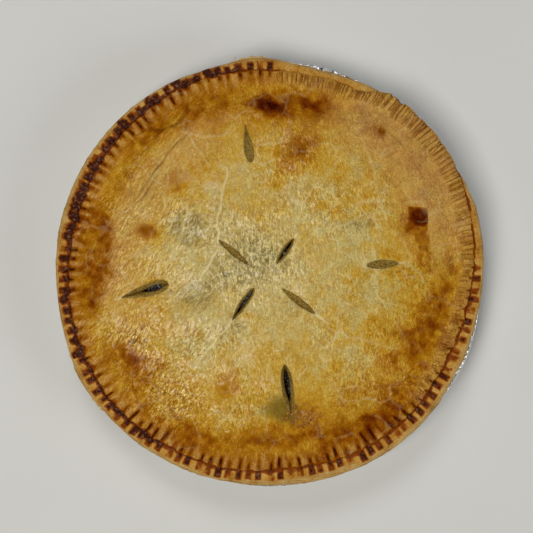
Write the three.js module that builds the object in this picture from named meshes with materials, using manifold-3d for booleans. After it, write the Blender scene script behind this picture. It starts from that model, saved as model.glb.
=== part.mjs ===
// A double-crust apple pie in its foil tin, seen from above with eight steam slits in the lid.
// Millimetres, +Z up. The origin is the middle of the tin's base, on the surface it stands on.
// Angles run counter-clockwise from +X, as seen from above.
import * as THREE from "three";
import { mergeVertices } from "three/addons/utils/BufferGeometryUtils.js";
import Module from "manifold-3d";

const { degToRad, smoothstep, lerp } = THREE.MathUtils;
const TURN = 2 * Math.PI;

// Clear space between pieces that lie against each other
const GAP = 0.4;

// Foil tin of the nine-inch size
const TIN_RIM_RADIUS = 121.7;
const TIN_MOUTH_RADIUS = 111;
const TIN_BASE_RADIUS = 91;
const TIN_DEPTH = 30;
const FOIL = 0.6;
const BASE_CORNER = 2.5;
const ROLL_RADIUS = 1.3;
const ROLL_ANGLES = [-150, -90, -30, 30, 90];
const FLUTES = 90;
const FLUTE_DEPTH = 0.5;

// Pastry
const PASTRY = 3.8;
const BASE_RIM_RADIUS = 122.2;
const BASE_RIM_HEIGHT = 5;
const BASE_EDGE_HEIGHT = 1.4;
const BASE_BEAD = 6.2;
const BASE_UNDERCUT = 1.2;
const LID_RADIUS = 114.2;
const LID_THICKNESS = 2.8;
const LID_EDGE_ROUND = 0.8;
const DOME_RISE = 13.5;
const DOME_FULLNESS = 3;
const LUMP_HEIGHT = 0.7;

// The rims of dough aren't round: each leans to one side and swells or shrinks in places.
// A swell is [angle in degrees, millimetres outwards, spread in degrees].
const LEAN_ANGLE = 150;
const BASE_LEAN = 0.9;
const LID_LEAN = 1.6;
const BASE_SWELLS = [
  [18, 2.1, 11],
  [42, -1.4, 10],
  [76, -2.4, 8],
  [94, 1.3, 5],
  [107, -0.7, 5],
  [142, 0.7, 18],
  [184, -0.6, 7],
  [210, 2.0, 5.5],
  [228, 0.8, 9],
  [266, -0.6, 9],
  [308, 1.0, 12],
  [331, -0.7, 5],
  [345, -0.5, 4],
];
const LID_SWELLS = [
  [0, 1.4, 9],
  [67, 1.6, 5],
  [112, 1.8, 15],
  [168, -1.4, 10],
  [218, 1.2, 8],
  [276, -2.3, 9],
  [330, -1.2, 6],
];
// On one side the lid laps right over the base's rim.
const LAP = { from: [-12, 40], to: [55, 65], reach: 9.6 };

// Fork marks round the rim, pressed through the lid into the base
const CRIMPS = 122;
const CRIMP_LENGTH = 13;
const CRIMP_DEPTH = 1.5;
const CRIMP_FULL_LENGTH = 5;
const CRIMP_FADE_LENGTH = 10;
const TOOTH_DEPTH = 1.3;
const TOOTH_MARGIN = 4.2;
const TOOTH_SLOPE = 0.8;
const TOOTH_UNDER_LID = 1.5;
const TOOTH_FADE = 3;
const CRIMP_JITTER = 0.5;
const CRIMP_SEED = 7;

// Steam slits: [x, y, length, width, angle in degrees]
const SLITS = [
  [-11.8, 73.0, 21.5, 4.6, 97],
  [-69.3, -9.6, 26.5, 5.6, 16],
  [8.9, -64.5, 27.5, 5.4, 102],
  [63.0, 5.2, 18.0, 4.0, 2],
  [8.4, 12.7, 16.5, 3.0, 55],
  [-14.6, -17.2, 20.5, 3.6, 56],
  [-20.1, 12.3, 20.0, 2.6, 142],
  [15.5, -15.4, 22.0, 3.4, 143],
];
const SLIT_CUT_HEIGHT = 20;

// Sides of the round pieces, from fine at the rim to coarse in the middle
const CRIMP_SIDES = 2 * CRIMPS;
const RIM_SIDES = CRIMPS;
const DOME_SIDES = CRIMPS / 2;
const CORE_SIDES = 30;
const DOME_RADII = [26, 48, 66, 82, 95];

const wasm = await Module();
wasm.setup();

// A run of numbers from 0 to 1 that is the same each time
function seededRun(seed, count) {
  let state = seed;
  return Array.from({ length: count }, () => {
    state = (state * 16807) % 2147483647;
    return state / 2147483647;
  });
}

const crimpShift = seededRun(CRIMP_SEED, CRIMPS).map((v) => CRIMP_JITTER * (v - 0.5));
const crimpForce = seededRun(CRIMP_SEED + 1, CRIMPS).map((v) => 0.7 + 0.6 * v);

// A ring of points about the axis: place(turn, index) gives each one's [radius, height].
function ring(sides, place, shift = () => 0) {
  return Array.from({ length: sides }, (_, i) => {
    const turn = (TURN * (i + shift(i))) / sides;
    const [radius, height] = place(turn, i);
    return new THREE.Vector3(radius * Math.cos(turn), radius * Math.sin(turn), height);
  });
}

const pole = (height) => [new THREE.Vector3(0, 0, height)];

// A closed surface over rings that run from the middle of the underside, out and round to the
// middle of the top. Neighbouring rings may have different numbers of points.
function skin(rings) {
  const starts = [];
  let total = 0;
  for (const points of rings) {
    starts.push(total);
    total += points.length;
  }
  const index = [];
  for (let k = 0; k + 1 < rings.length; k++) {
    const below = rings[k].length;
    const above = rings[k + 1].length;
    const a = (i) => starts[k] + (i % below);
    const b = (j) => starts[k + 1] + (j % above);
    const belowSteps = below > 1 ? below : 0;
    const aboveSteps = above > 1 ? above : 0;
    let i = 0;
    let j = 0;
    while (i < belowSteps || j < aboveSteps) {
      const stepBelow = j >= aboveSteps || (i < belowSteps && (i + 1) / below <= (j + 1) / above);
      if (stepBelow) {
        index.push(a(i), a(i + 1), b(j));
        i++;
      } else {
        index.push(a(i), b(j + 1), b(j));
        j++;
      }
    }
  }
  const geometry = new THREE.BufferGeometry().setFromPoints(rings.flat());
  geometry.setIndex(index);
  return geometry;
}

// A geometry as a solid that can be cut, and a solid as a geometry
function toSolid(geometry) {
  const bare = geometry.clone();
  bare.deleteAttribute("normal");
  bare.deleteAttribute("uv");
  const merged = mergeVertices(bare, 1e-4);
  const mesh = new wasm.Mesh({
    numProp: 3,
    vertProperties: merged.getAttribute("position").array,
    triVerts: new Uint32Array(merged.index.array),
  });
  return new wasm.Manifold(mesh);
}

function toGeometry(solid) {
  const mesh = solid.getMesh();
  const geometry = new THREE.BufferGeometry();
  geometry.setAttribute("position", new THREE.BufferAttribute(mesh.vertProperties, 3));
  geometry.setIndex(new THREE.BufferAttribute(mesh.triVerts, 1));
  return geometry;
}

// How far a rim of dough strays from its circle
function swellAt(turn, swells) {
  return swells.reduce((sum, [angle, amount, spread]) => {
    const away = Math.atan2(Math.sin(turn - degToRad(angle)), Math.cos(turn - degToRad(angle)));
    return sum + amount * Math.exp(-0.5 * (away / degToRad(spread)) ** 2);
  }, 0);
}

const leanAt = (turn, amount) => amount * Math.cos(turn - degToRad(LEAN_ANGLE));

function baseEdge(turn) {
  return BASE_RIM_RADIUS + leanAt(turn, BASE_LEAN) + swellAt(turn, BASE_SWELLS);
}

function lidEdge(turn) {
  const degrees = THREE.MathUtils.radToDeg(Math.atan2(Math.sin(turn), Math.cos(turn)));
  const lap = smoothstep(degrees, ...LAP.from) * (1 - smoothstep(degrees, ...LAP.to));
  return LID_RADIUS + leanAt(turn, LID_LEAN) + swellAt(turn, LID_SWELLS) + LAP.reach * lap;
}

// Top of the base's rim: flat where the lid is pressed on, then rounded down to its edge
const RIM_SEAT = TIN_DEPTH + GAP + BASE_RIM_HEIGHT;
const RIM_EDGE = TIN_DEPTH + GAP + BASE_EDGE_HEIGHT;

function rimTop(radius, turn) {
  const inwards = THREE.MathUtils.clamp((baseEdge(turn) - radius) / BASE_BEAD, 0, 1);
  return lerp(RIM_EDGE, RIM_SEAT, Math.sqrt(1 - (1 - inwards) ** 2));
}

// Top of the lid without its fork marks: it lies on the rim and domes over the fruit
const LID_SEAT = RIM_SEAT + GAP + LID_THICKNESS;
const LAP_DROOP_INSET = 2.5;

function lumps(x, y) {
  const broad = Math.sin(x / 15 + 0.8) * Math.cos(y / 13 - 0.4);
  const tight = Math.sin((x + y) / 10 + 2) * Math.cos((x - y) / 12 + 1);
  return LUMP_HEIGHT * (broad + 0.7 * tight);
}

function lidTop(radius, turn) {
  const domeEdge = lidEdge(turn) - CRIMP_LENGTH;
  if (radius >= domeEdge) {
    const rested = Math.min(radius, baseEdge(turn) - LAP_DROOP_INSET);
    return rimTop(rested, turn) + GAP + LID_THICKNESS;
  }
  const out = radius / domeEdge;
  const lump = lumps(radius * Math.cos(turn), radius * Math.sin(turn)) * (1 - out ** 4);
  return LID_SEAT + DOME_RISE * (1 - out ** DOME_FULLNESS) + lump;
}

const lidUnder = (radius, turn) => lidTop(radius, turn) - LID_THICKNESS;

// Fork marks are every second point of the finest rings.
const isMark = (i) => i % 2 === 1;
const markShift = (i) => crimpShift[Math.floor(i / 2)];
const markDepth = (i, depth) => (isMark(i) ? depth * crimpForce[Math.floor(i / 2)] : 0);

// Heights where the tin's wall starts and ends, inside
const WALL_FOOT = BASE_CORNER + FOIL;
const WALL_HEAD = TIN_DEPTH - FOIL - BASE_CORNER;

// Pressed foil: a flat base, a fluted wall, a flange and a rolled edge
function foilTin() {
  const flute = (i) => (i % 2 ? -FLUTE_DEPTH : FLUTE_DEPTH);
  const plain = (radius, height) => ring(FLUTES, () => [radius, height]);
  const fluted = (radius, height) => ring(2 * FLUTES, (_, i) => [radius + flute(i), height]);
  const under = TIN_DEPTH - FOIL;
  const rolled = ROLL_ANGLES.map(degToRad).map((angle) => {
    const out = TIN_RIM_RADIUS - ROLL_RADIUS * (1 - Math.cos(angle));
    return plain(out, TIN_DEPTH - ROLL_RADIUS * (1 - Math.sin(angle)));
  });
  return skin([
    pole(0),
    plain(TIN_BASE_RADIUS - BASE_CORNER, 0),
    fluted(TIN_BASE_RADIUS, BASE_CORNER),
    fluted(TIN_MOUTH_RADIUS - FOIL, WALL_HEAD),
    plain(TIN_MOUTH_RADIUS + FOIL, under),
    plain(TIN_RIM_RADIUS - 2 * ROLL_RADIUS, under),
    ...rolled,
    plain(TIN_MOUTH_RADIUS, TIN_DEPTH),
    fluted(TIN_MOUTH_RADIUS - 2 * FOIL, WALL_HEAD),
    fluted(TIN_BASE_RADIUS - FOIL, WALL_FOOT),
    plain(TIN_BASE_RADIUS - BASE_CORNER, FOIL),
    pole(FOIL),
  ]);
}

// The inside of the tin's wall, less an inset for what lines it, as a radius at a height
function liningRadius(height, inset) {
  const up = Math.min(1, (height - WALL_FOOT) / (WALL_HEAD - WALL_FOOT));
  return lerp(TIN_BASE_RADIUS - FOIL, TIN_MOUTH_RADIUS - 2 * FOIL, up) - FLUTE_DEPTH - inset;
}

const FLOOR = FOIL + GAP;
const BOWL_FLOOR = FLOOR + PASTRY;
const BOWL_LIP = RIM_SEAT - 1.5;
const BOWL_FLOOR_RADIUS = liningRadius(BOWL_FLOOR, PASTRY + BASE_CORNER);
const BOWL_LIP_RADIUS = liningRadius(BOWL_LIP, PASTRY);

// The inside of the base pastry's wall, as a radius at a height
function bowlWall(height) {
  return lerp(BOWL_FLOOR_RADIUS, BOWL_LIP_RADIUS, (height - BOWL_FLOOR) / (BOWL_LIP - BOWL_FLOOR));
}

// Base pastry: lines the tin, turns out over the flange and ends in a rounded edge
function bottomCrust() {
  const even = (sides, radius, height) => ring(sides, () => [radius, height]);
  const tooth = (placeRadius, depth) =>
    ring(
      CRIMP_SIDES,
      (turn, i) => {
        const radius = placeRadius(turn);
        return [radius, rimTop(radius, turn) - markDepth(i, depth)];
      },
      markShift,
    );
  const toothEnd = (turn) => baseEdge(turn) - TOOTH_MARGIN;
  const toothRoot = (turn) =>
    Math.min(lidEdge(turn) - TOOTH_UNDER_LID, toothEnd(turn) - 1.5 * TOOTH_SLOPE);
  const foot = WALL_FOOT + GAP;
  const neck = WALL_HEAD - BASE_CORNER;
  const onBead = (inset) =>
    ring(RIM_SIDES, (turn) => {
      const radius = baseEdge(turn) - inset;
      return [radius, rimTop(radius, turn)];
    });
  return skin([
    pole(FLOOR),
    even(DOME_SIDES, liningRadius(WALL_FOOT, 2 * BASE_CORNER), FLOOR),
    even(DOME_SIDES, liningRadius(foot, 2 * GAP), foot),
    even(DOME_SIDES, liningRadius(neck, 2 * GAP), neck),
    even(RIM_SIDES, TIN_MOUTH_RADIUS - FOIL, TIN_DEPTH + GAP),
    ring(RIM_SIDES, (turn) => [baseEdge(turn) - BASE_UNDERCUT, TIN_DEPTH + GAP]),
    onBead(0),
    onBead(BASE_BEAD / 6),
    tooth(toothEnd, 0),
    tooth((turn) => toothEnd(turn) - TOOTH_SLOPE, TOOTH_DEPTH),
    tooth(toothRoot, TOOTH_DEPTH),
    tooth((turn) => toothRoot(turn) - TOOTH_FADE, 0),
    even(DOME_SIDES, BOWL_LIP_RADIUS, BOWL_LIP),
    even(DOME_SIDES, BOWL_FLOOR_RADIUS, BOWL_FLOOR),
    pole(BOWL_FLOOR),
  ]);
}

// Cooked apple, filling all the space between base and lid
function appleFilling() {
  const floor = BOWL_FLOOR + GAP;
  const shoulder = BOWL_LIP - BASE_CORNER;
  const wall = (height) => ring(DOME_SIDES, () => [bowlWall(height) - 2 * GAP, height]);
  const outer = DOME_RADII[DOME_RADII.length - 1];
  const underLid = (radius) =>
    ring(DOME_SIDES, (turn) => [radius, lidUnder(radius, turn) - GAP]);
  return skin([
    pole(floor),
    wall(floor),
    wall(shoulder),
    underLid(outer),
    ...DOME_RADII.slice(0, -1).reverse().map(underLid),
    pole(lidUnder(0, 0) - GAP),
  ]);
}

// A lens-shaped cut through the lid, wide in the middle and pointed at both ends
function slitCutter([x, y, length, width, angle]) {
  const half = length / 2;
  const lens = new THREE.Shape();
  lens.moveTo(-half, 0);
  lens.quadraticCurveTo(0, -width, half, 0);
  lens.quadraticCurveTo(0, width, -half, 0);
  const cutter = new THREE.ExtrudeGeometry(lens, {
    depth: SLIT_CUT_HEIGHT,
    curveSegments: 6,
    bevelEnabled: false,
  });
  const middle = lidTop(Math.hypot(x, y), Math.atan2(y, x));
  cutter.rotateZ(degToRad(angle));
  cutter.translate(x, y, middle - SLIT_CUT_HEIGHT / 2);
  return cutter;
}

// Lid pastry: a dome with a fork-marked rim and steam slits cut through it
function topCrust() {
  const edge = (inset) => (turn) => lidEdge(turn) - inset;
  const under = (sides, placeRadius) =>
    ring(sides, (turn) => [placeRadius(turn), lidUnder(placeRadius(turn), turn)]);
  const top = (sides, placeRadius) =>
    ring(sides, (turn) => [placeRadius(turn), lidTop(placeRadius(turn), turn)]);
  const [outerDome, ...innerDome] = DOME_RADII.slice(1).reverse();
  const core = DOME_RADII[0];
  const marked = (inset, depth, drop = 0) =>
    ring(
      CRIMP_SIDES,
      (turn, i) => {
        const radius = lidEdge(turn) - inset;
        return [radius, lidTop(radius, turn) - drop - markDepth(i, depth)];
      },
      markShift,
    );
  const domed = skin([
    pole(lidUnder(0, 0)),
    ...DOME_RADII.map((radius) => under(DOME_SIDES, () => radius)),
    under(RIM_SIDES, edge(CRIMP_LENGTH)),
    under(RIM_SIDES, edge(CRIMP_FULL_LENGTH)),
    under(RIM_SIDES, edge(LID_EDGE_ROUND / 2)),
    marked(0, 0.3 * CRIMP_DEPTH, LID_THICKNESS / 2),
    marked(LID_EDGE_ROUND, CRIMP_DEPTH),
    marked(CRIMP_FULL_LENGTH, CRIMP_DEPTH),
    marked(CRIMP_FADE_LENGTH, CRIMP_DEPTH / 2),
    top(RIM_SIDES, edge(CRIMP_LENGTH)),
    top(RIM_SIDES, () => outerDome),
    ...innerDome.map((radius) => top(DOME_SIDES, () => radius)),
    top(CORE_SIDES, () => core),
    pole(lidTop(0, 0)),
  ]);
  return toGeometry(
    SLITS.reduce((lid, slit) => lid.subtract(toSolid(slitCutter(slit))), toSolid(domed)),
  );
}

function piece(name, geometry, look) {
  geometry.computeVertexNormals();
  const mesh = new THREE.Mesh(geometry, new THREE.MeshStandardMaterial(look));
  mesh.name = name;
  return mesh;
}

const applePie = new THREE.Group();
applePie.name = "apple_pie";
applePie.add(
  piece("foil_tin", foilTin(), { color: 0xc8c9c8, roughness: 0.3, metalness: 1 }),
  piece("bottom_crust", bottomCrust(), { color: 0xb08a50, roughness: 0.7, metalness: 0 }),
  piece("apple_filling", appleFilling(), { color: 0x3a2410, roughness: 0.25, metalness: 0 }),
  piece("top_crust", topCrust(), { color: 0xb08a45, roughness: 0.5, metalness: 0 }),
);

export default applePie;
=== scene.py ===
import math

import bmesh
import bpy
import numpy as np
from mathutils import Matrix, Vector


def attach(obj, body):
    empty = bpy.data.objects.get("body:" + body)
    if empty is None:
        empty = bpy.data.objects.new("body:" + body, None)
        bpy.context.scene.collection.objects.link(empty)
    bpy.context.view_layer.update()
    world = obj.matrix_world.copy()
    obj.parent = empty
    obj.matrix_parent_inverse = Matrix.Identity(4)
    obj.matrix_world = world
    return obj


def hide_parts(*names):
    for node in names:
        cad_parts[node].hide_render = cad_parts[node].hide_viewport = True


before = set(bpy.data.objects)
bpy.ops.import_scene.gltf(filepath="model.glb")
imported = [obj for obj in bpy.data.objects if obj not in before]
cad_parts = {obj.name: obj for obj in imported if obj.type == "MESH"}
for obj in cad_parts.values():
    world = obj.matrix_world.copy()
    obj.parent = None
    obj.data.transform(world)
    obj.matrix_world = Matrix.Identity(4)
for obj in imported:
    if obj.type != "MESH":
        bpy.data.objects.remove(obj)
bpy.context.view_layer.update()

# Foil tin.
# The pie was baked in a stamped aluminium foil tin: a flat base, a fluted wall, a narrow flange
# and an edge rolled under for strength. It carries everything else and only its edge shows.
MM = 0.001
TURN = 2 * math.pi
GAP = 0.4
TIN_RIM_RADIUS = 121.7
TIN_MOUTH_RADIUS = 111
TIN_BASE_RADIUS = 91
TIN_DEPTH = 30
FOIL = 0.6
TIN_CORNER = 2.5
ROLL_RADIUS = 1.3
FLUTES = 90
FLUTE_DEPTH = 0.5
FLUTE_STEPS = 8
# Bends in the rim and swells of the pastry: (angle, millimetres outwards, degrees of spread)
RIM_BENDS = [(335, 1.5, 9), (74, 0.7, 10), (268, 0.5, 8)]
TIN_WALL_FOOT = TIN_CORNER + FOIL
TIN_WALL_HEAD = TIN_DEPTH - FOIL - TIN_CORNER
# Radius at which lengths along the rim are taken
ARC_RADIUS = 120


def turned(profile, steps):
    """A profile of (radius, height) points in millimetres, turned about the upright axis."""
    bm = bmesh.new()
    points = [bm.verts.new((radius, 0, height)) for radius, height in profile]
    edges = [bm.edges.new(pair) for pair in zip(points, points[1:])]
    bmesh.ops.spin(
        bm,
        geom=points + edges,
        cent=(0, 0, 0),
        axis=(0, 0, 1),
        dvec=(0, 0, 0),
        angle=TURN,
        steps=steps,
        use_merge=True,
    )
    bmesh.ops.remove_doubles(bm, verts=bm.verts, dist=1e-4)
    bmesh.ops.recalc_face_normals(bm, faces=bm.faces)
    return bm


def finished(bm, name):
    """The shape as a smooth-shaded object at the origin, still in millimetres."""
    mesh = bpy.data.meshes.new(name)
    bm.to_mesh(mesh)
    bm.free()
    mesh.shade_smooth()
    piece = bpy.data.objects.new(name, mesh)
    bpy.context.scene.collection.objects.link(piece)
    return piece


def points_of(piece):
    """The piece's points as columns x, y and z."""
    flat = np.empty(3 * len(piece.data.vertices))
    piece.data.vertices.foreach_get("co", flat)
    return flat.reshape(-1, 3).T


def place_points(piece, x, y, z):
    """Moves the piece's points to these columns of places."""
    piece.data.vertices.foreach_set("co", np.stack([x, y, z], 1).ravel())
    piece.data.update()


def to_metres(piece):
    """Brings a finished piece from millimetres to the metres of the frame."""
    place_points(piece, *(points_of(piece) * MM))


def polar(x, y):
    """Distance from the upright axis, and turn about it, of each place."""
    return np.hypot(x, y), np.arctan2(y, x)


def ease(low, high, value):
    """0 below low, 1 above high and a smooth step between them."""
    t = np.clip((value - low) / (high - low), 0, 1)
    return t * t * (3 - 2 * t)


def unevenness(x, y, size, seed):
    """Smooth random values from -1 to 1, with hills about size millimetres across."""
    draw = np.random.default_rng(seed)
    table = draw.uniform(-1, 1, (128, 128))
    lean = draw.uniform(0, TURN)
    u = (x * math.cos(lean) - y * math.sin(lean)) / size
    v = (x * math.sin(lean) + y * math.cos(lean)) / size
    i = np.floor(u).astype(int)
    j = np.floor(v).astype(int)
    f = ease(0, 1, u - i)
    g = ease(0, 1, v - j)
    near = table[i % 128, j % 128] * (1 - f) + table[(i + 1) % 128, j % 128] * f
    far = table[i % 128, (j + 1) % 128] * (1 - f) + table[(i + 1) % 128, (j + 1) % 128] * f
    return near * (1 - g) + far * g


def around(turn, degrees):
    """How far a turn is from an angle, in degrees from -180 to 180."""
    return (np.degrees(turn) - degrees + 180) % 360 - 180


def swelling(turn, swells):
    """Swells of so many millimetres, each about an angle and spread over so many degrees."""
    total = 0
    for angle, amount, width in swells:
        total = total + amount * np.exp(-0.5 * (around(turn, angle) / width) ** 2)
    return total


def steps_between(start, end, count):
    """Points from start up to, but not including, end."""
    return [tuple(Vector(start).lerp(end, k / count)) for k in range(count)]


def tin_profile():
    """Base, outer wall, flange and rolled edge, and back down the inside."""
    under = TIN_DEPTH - FOIL
    outer_foot = (TIN_BASE_RADIUS, TIN_CORNER)
    outer_head = (TIN_MOUTH_RADIUS - FOIL, TIN_WALL_HEAD)
    inner_head = (TIN_MOUTH_RADIUS - 2 * FOIL, TIN_WALL_HEAD)
    inner_foot = (TIN_BASE_RADIUS - FOIL, TIN_WALL_FOOT)
    roll = [
        (
            TIN_RIM_RADIUS - ROLL_RADIUS * (1 - math.cos(math.radians(angle))),
            TIN_DEPTH - ROLL_RADIUS * (1 - math.sin(math.radians(angle))),
        )
        for angle in range(-150, 91, 30)
    ]
    return [
        (0, 0),
        *steps_between((TIN_BASE_RADIUS - 4 * TIN_CORNER, 0), (TIN_BASE_RADIUS - TIN_CORNER, 0), 2),
        (TIN_BASE_RADIUS - TIN_CORNER, 0),
        (TIN_BASE_RADIUS - 0.3 * TIN_CORNER, 0.3 * TIN_CORNER),
        *steps_between(outer_foot, outer_head, 6),
        outer_head,
        (TIN_MOUTH_RADIUS, under - 0.3 * TIN_CORNER),
        *steps_between((TIN_MOUTH_RADIUS + FOIL, under), (TIN_RIM_RADIUS - 2 * ROLL_RADIUS, under), 3),
        *roll,
        *steps_between((TIN_RIM_RADIUS - 2 * ROLL_RADIUS, TIN_DEPTH), (TIN_MOUTH_RADIUS, TIN_DEPTH), 3),
        (TIN_MOUTH_RADIUS, TIN_DEPTH),
        *steps_between(inner_head, inner_foot, 6),
        inner_foot,
        (TIN_BASE_RADIUS - TIN_CORNER, FOIL),
        (0, FOIL),
    ]


foil_tin = finished(turned(tin_profile(), FLUTES * FLUTE_STEPS), "pressed_foil_tin")
x, y, z = points_of(foil_tin)
radius, turn = polar(x, y)
on_wall = ease(0, 2 * TIN_CORNER, z) * (1 - ease(TIN_WALL_HEAD - TIN_CORNER, TIN_DEPTH - FOIL, z))
flute = FLUTE_DEPTH * np.sin(FLUTES * turn) * on_wall
on_rim = ease(TIN_MOUTH_RADIUS + 2, TIN_RIM_RADIUS - 2, radius)
along_rim = 0.5 * ARC_RADIUS * turn
handling = 0.22 * unevenness(along_rim, radius, 9, 3) + 0.1 * unevenness(along_rim, radius, 3, 4)
bends = swelling(turn, RIM_BENDS)
bulge = 1 + (flute + (0.6 * handling + bends) * on_rim) / np.maximum(radius, 1)
place_points(foil_tin, x * bulge, y * bulge, z + handling * on_rim)
to_metres(foil_tin)


def wire(tree, value, socket):
    """Joins an output to a socket, or sets the socket to a value."""
    if isinstance(value, bpy.types.NodeSocket):
        tree.links.new(value, socket)
    else:
        socket.default_value = value


def finish(name):
    """A new material, its nodes, and a way to put a value or an output on its shader."""
    material = bpy.data.materials.new(name)
    material.use_nodes = True
    tree = material.node_tree
    sockets = tree.nodes["Principled BSDF"].inputs

    def put(socket, value):
        wire(tree, value, sockets[socket])

    return material, tree, put


def at_surface(tree):
    """Places on the piece, in the frame's own metres."""
    return tree.nodes.new("ShaderNodeTexCoord").outputs["Object"]


def mottle(tree, place, size, detail=3, twist=0.0):
    """Cloudy values about 0.5, with patches about size millimetres across."""
    node = tree.nodes.new("ShaderNodeTexNoise")
    wire(tree, place, node.inputs["Vector"])
    node.inputs["Scale"].default_value = 1 / (size * MM)
    node.inputs["Detail"].default_value = detail
    node.inputs["Distortion"].default_value = twist
    return node.outputs["Fac"]


def reckoned(tree, operation, first, second=0.0, also=0.0, clamp=False):
    """A number worked out in the shader from up to three others."""
    node = tree.nodes.new("ShaderNodeMath")
    node.operation = operation
    node.use_clamp = clamp
    for value, socket in zip((first, second, also), node.inputs):
        wire(tree, value, socket)
    return node.outputs[0]


def times(tree, first, second, clamp=False):
    """The product of two numbers in the shader."""
    return reckoned(tree, "MULTIPLY", first, second, clamp=clamp)


def spread(tree, value, low, high, to_low=0.0, to_high=1.0):
    """A value's range from low to high, stretched over another range and kept inside it."""
    node = tree.nodes.new("ShaderNodeMapRange")
    node.interpolation_type = "SMOOTHSTEP"
    wire(tree, value, node.inputs["Value"])
    node.inputs["From Min"].default_value = low
    node.inputs["From Max"].default_value = high
    node.inputs["To Min"].default_value = to_low
    node.inputs["To Max"].default_value = to_high
    return node.outputs["Result"]


def blend(tree, share, first, second, kind="MIX"):
    """The first colour with a share of the second laid over it."""
    node = tree.nodes.new("ShaderNodeMix")
    node.data_type = "RGBA"
    node.blend_type = kind
    wire(tree, share, node.inputs["Factor"])
    wire(tree, first, node.inputs[6])
    wire(tree, second, node.inputs[7])
    return node.outputs[2]


def tone(red, green, blue):
    """A colour given as 0 to 255 screen values, as the shader's own light values."""
    parts = [part / 255 for part in (red, green, blue)]
    return (*[c / 12.92 if c <= 0.04045 else ((c + 0.055) / 1.055) ** 2.4 for c in parts], 1)


def raised(tree, height, millimetres, under=None):
    """A surface normal lifted by a height of 0 to 1 that stands for so many millimetres."""
    node = tree.nodes.new("ShaderNodeBump")
    node.inputs["Strength"].default_value = 1
    node.inputs["Distance"].default_value = millimetres * MM
    wire(tree, height, node.inputs["Height"])
    if under is not None:
        wire(tree, under, node.inputs["Normal"])
    return node.outputs["Normal"]


def bright_foil():
    material, tree, put = finish("bright_foil")
    place = at_surface(tree)
    crumple = mottle(tree, place, 2.0, 2, 0.4)
    smear = mottle(tree, place, 14, 2)
    put("Metallic", 1)
    colour = blend(tree, smear, tone(214, 214, 212), tone(240, 239, 236))
    put("Base Color", colour)
    put("Roughness", spread(tree, smear, 0.3, 0.7, 0.16, 0.34))
    put("Normal", raised(tree, crumple, 1.6))
    return material


foil_tin.data.materials.append(bright_foil())
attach(foil_tin, "root")
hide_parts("foil_tin")

# Bottom crust.
# A round of rolled shortcrust laid in the tin, turned out over its flange and trimmed by hand.
# Fork tines have pressed it through the lid, so a row of square teeth stands along its rim.
PASTRY = 3.8
BASE_RIM_RADIUS = 122.2
BASE_RIM_HEIGHT = 5
BASE_EDGE_HEIGHT = 1.4
BASE_BEAD = 6.2
BASE_UNDERCUT = 1.2
LID_RADIUS = 114.2
LEAN_ANGLE = math.radians(150)
BASE_LEAN = 0.9
LID_LEAN = 1.6
BASE_SWELLS = [
    (18, 2.1, 11),
    (42, -1.4, 10),
    (76, -2.4, 8),
    (94, 1.3, 5),
    (107, -0.7, 5),
    (142, 0.7, 18),
    (184, -0.6, 7),
    (210, 2.0, 5.5),
    (228, 0.8, 9),
    (266, -0.6, 9),
    (308, 1.0, 12),
    (331, -0.7, 5),
    (345, -0.5, 4),
]
LID_SWELLS = [
    (0, 1.4, 9),
    (67, 1.6, 5),
    (112, 1.8, 15),
    (168, -1.4, 10),
    (218, 1.2, 8),
    (276, -2.3, 9),
    (330, -1.2, 6),
]
# Where the lid laps over the base: the degrees over which that starts and ends
LAP_FROM = (-12, 40)
LAP_TO = (55, 65)
LAP_REACH = 9.6
# Stretches of the rim: (first angle, last angle, degrees over which each end fades)
THICK_BURN = (99, 238, 8)
SOLID_BURN = (138, 212, 18)
NO_TEETH = (3, 88, 5)
# The right and top stretches of the line under the lid's edge: on the right burnt juice with painted
# contact shade, on top only a faint painted shade line
RIGHT_LINE = (-12, 30, 8)
TOP_SHADE_LINE = (62, 90, 6)
CRIMPS = 122
CRIMP_PITCH = TURN * LID_RADIUS / CRIMPS
TOOTH_DEPTH = 1.3
TOOTH_LENGTH = 5.6
PLAIN_EDGE = 2.2
RIM_SEAT = TIN_DEPTH + GAP + BASE_RIM_HEIGHT
RIM_EDGE = TIN_DEPTH + GAP + BASE_EDGE_HEIGHT

# Each fork mark's place, depth, length and darkness, and the burnt juice that sits on it
crimp_draw = np.random.default_rng(7)
crimp_shift = crimp_draw.uniform(-0.16, 0.16, CRIMPS)
crimp_force = crimp_draw.uniform(0.2, 1.25, CRIMPS)
crimp_reach = crimp_draw.uniform(5.5, 10.0, CRIMPS)
crimp_dark = crimp_draw.uniform(0.15, 1.0, CRIMPS)
blob_size = crimp_draw.uniform(0.65, 1.25, CRIMPS)
blob_shift = crimp_draw.uniform(-0.7, 0.7, CRIMPS)


def base_edge(turn):
    """Radius of the base's trimmed edge."""
    return BASE_RIM_RADIUS + BASE_LEAN * np.cos(turn - LEAN_ANGLE) + swelling(turn, BASE_SWELLS)


def lapping(turn):
    """1 where the lid laps over the base's edge, 0 elsewhere."""
    degrees = around(turn, 0)
    return ease(*LAP_FROM, degrees) * (1 - ease(*LAP_TO, degrees))


def lid_edge(turn):
    """Radius of the lid's edge, which steps in or out at each fork mark."""
    lean = LID_LEAN * np.cos(turn - LEAN_ANGLE)
    mark, off_mark = fork_marks(turn)
    stepped = blob_shift[mark] * (1 - ease(1.2, 2.8, np.abs(off_mark))) * (1 - lapping(turn))
    return LID_RADIUS + lean + swelling(turn, LID_SWELLS) + stepped + LAP_REACH * lapping(turn)


def rim_top(radius, turn):
    """Height of the base's rim, which rounds off towards its edge."""
    inwards = np.clip((base_edge(turn) - radius) / BASE_BEAD, 0, 1)
    return RIM_EDGE + (RIM_SEAT - RIM_EDGE) * np.sqrt(1 - (1 - inwards) ** 2)


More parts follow.
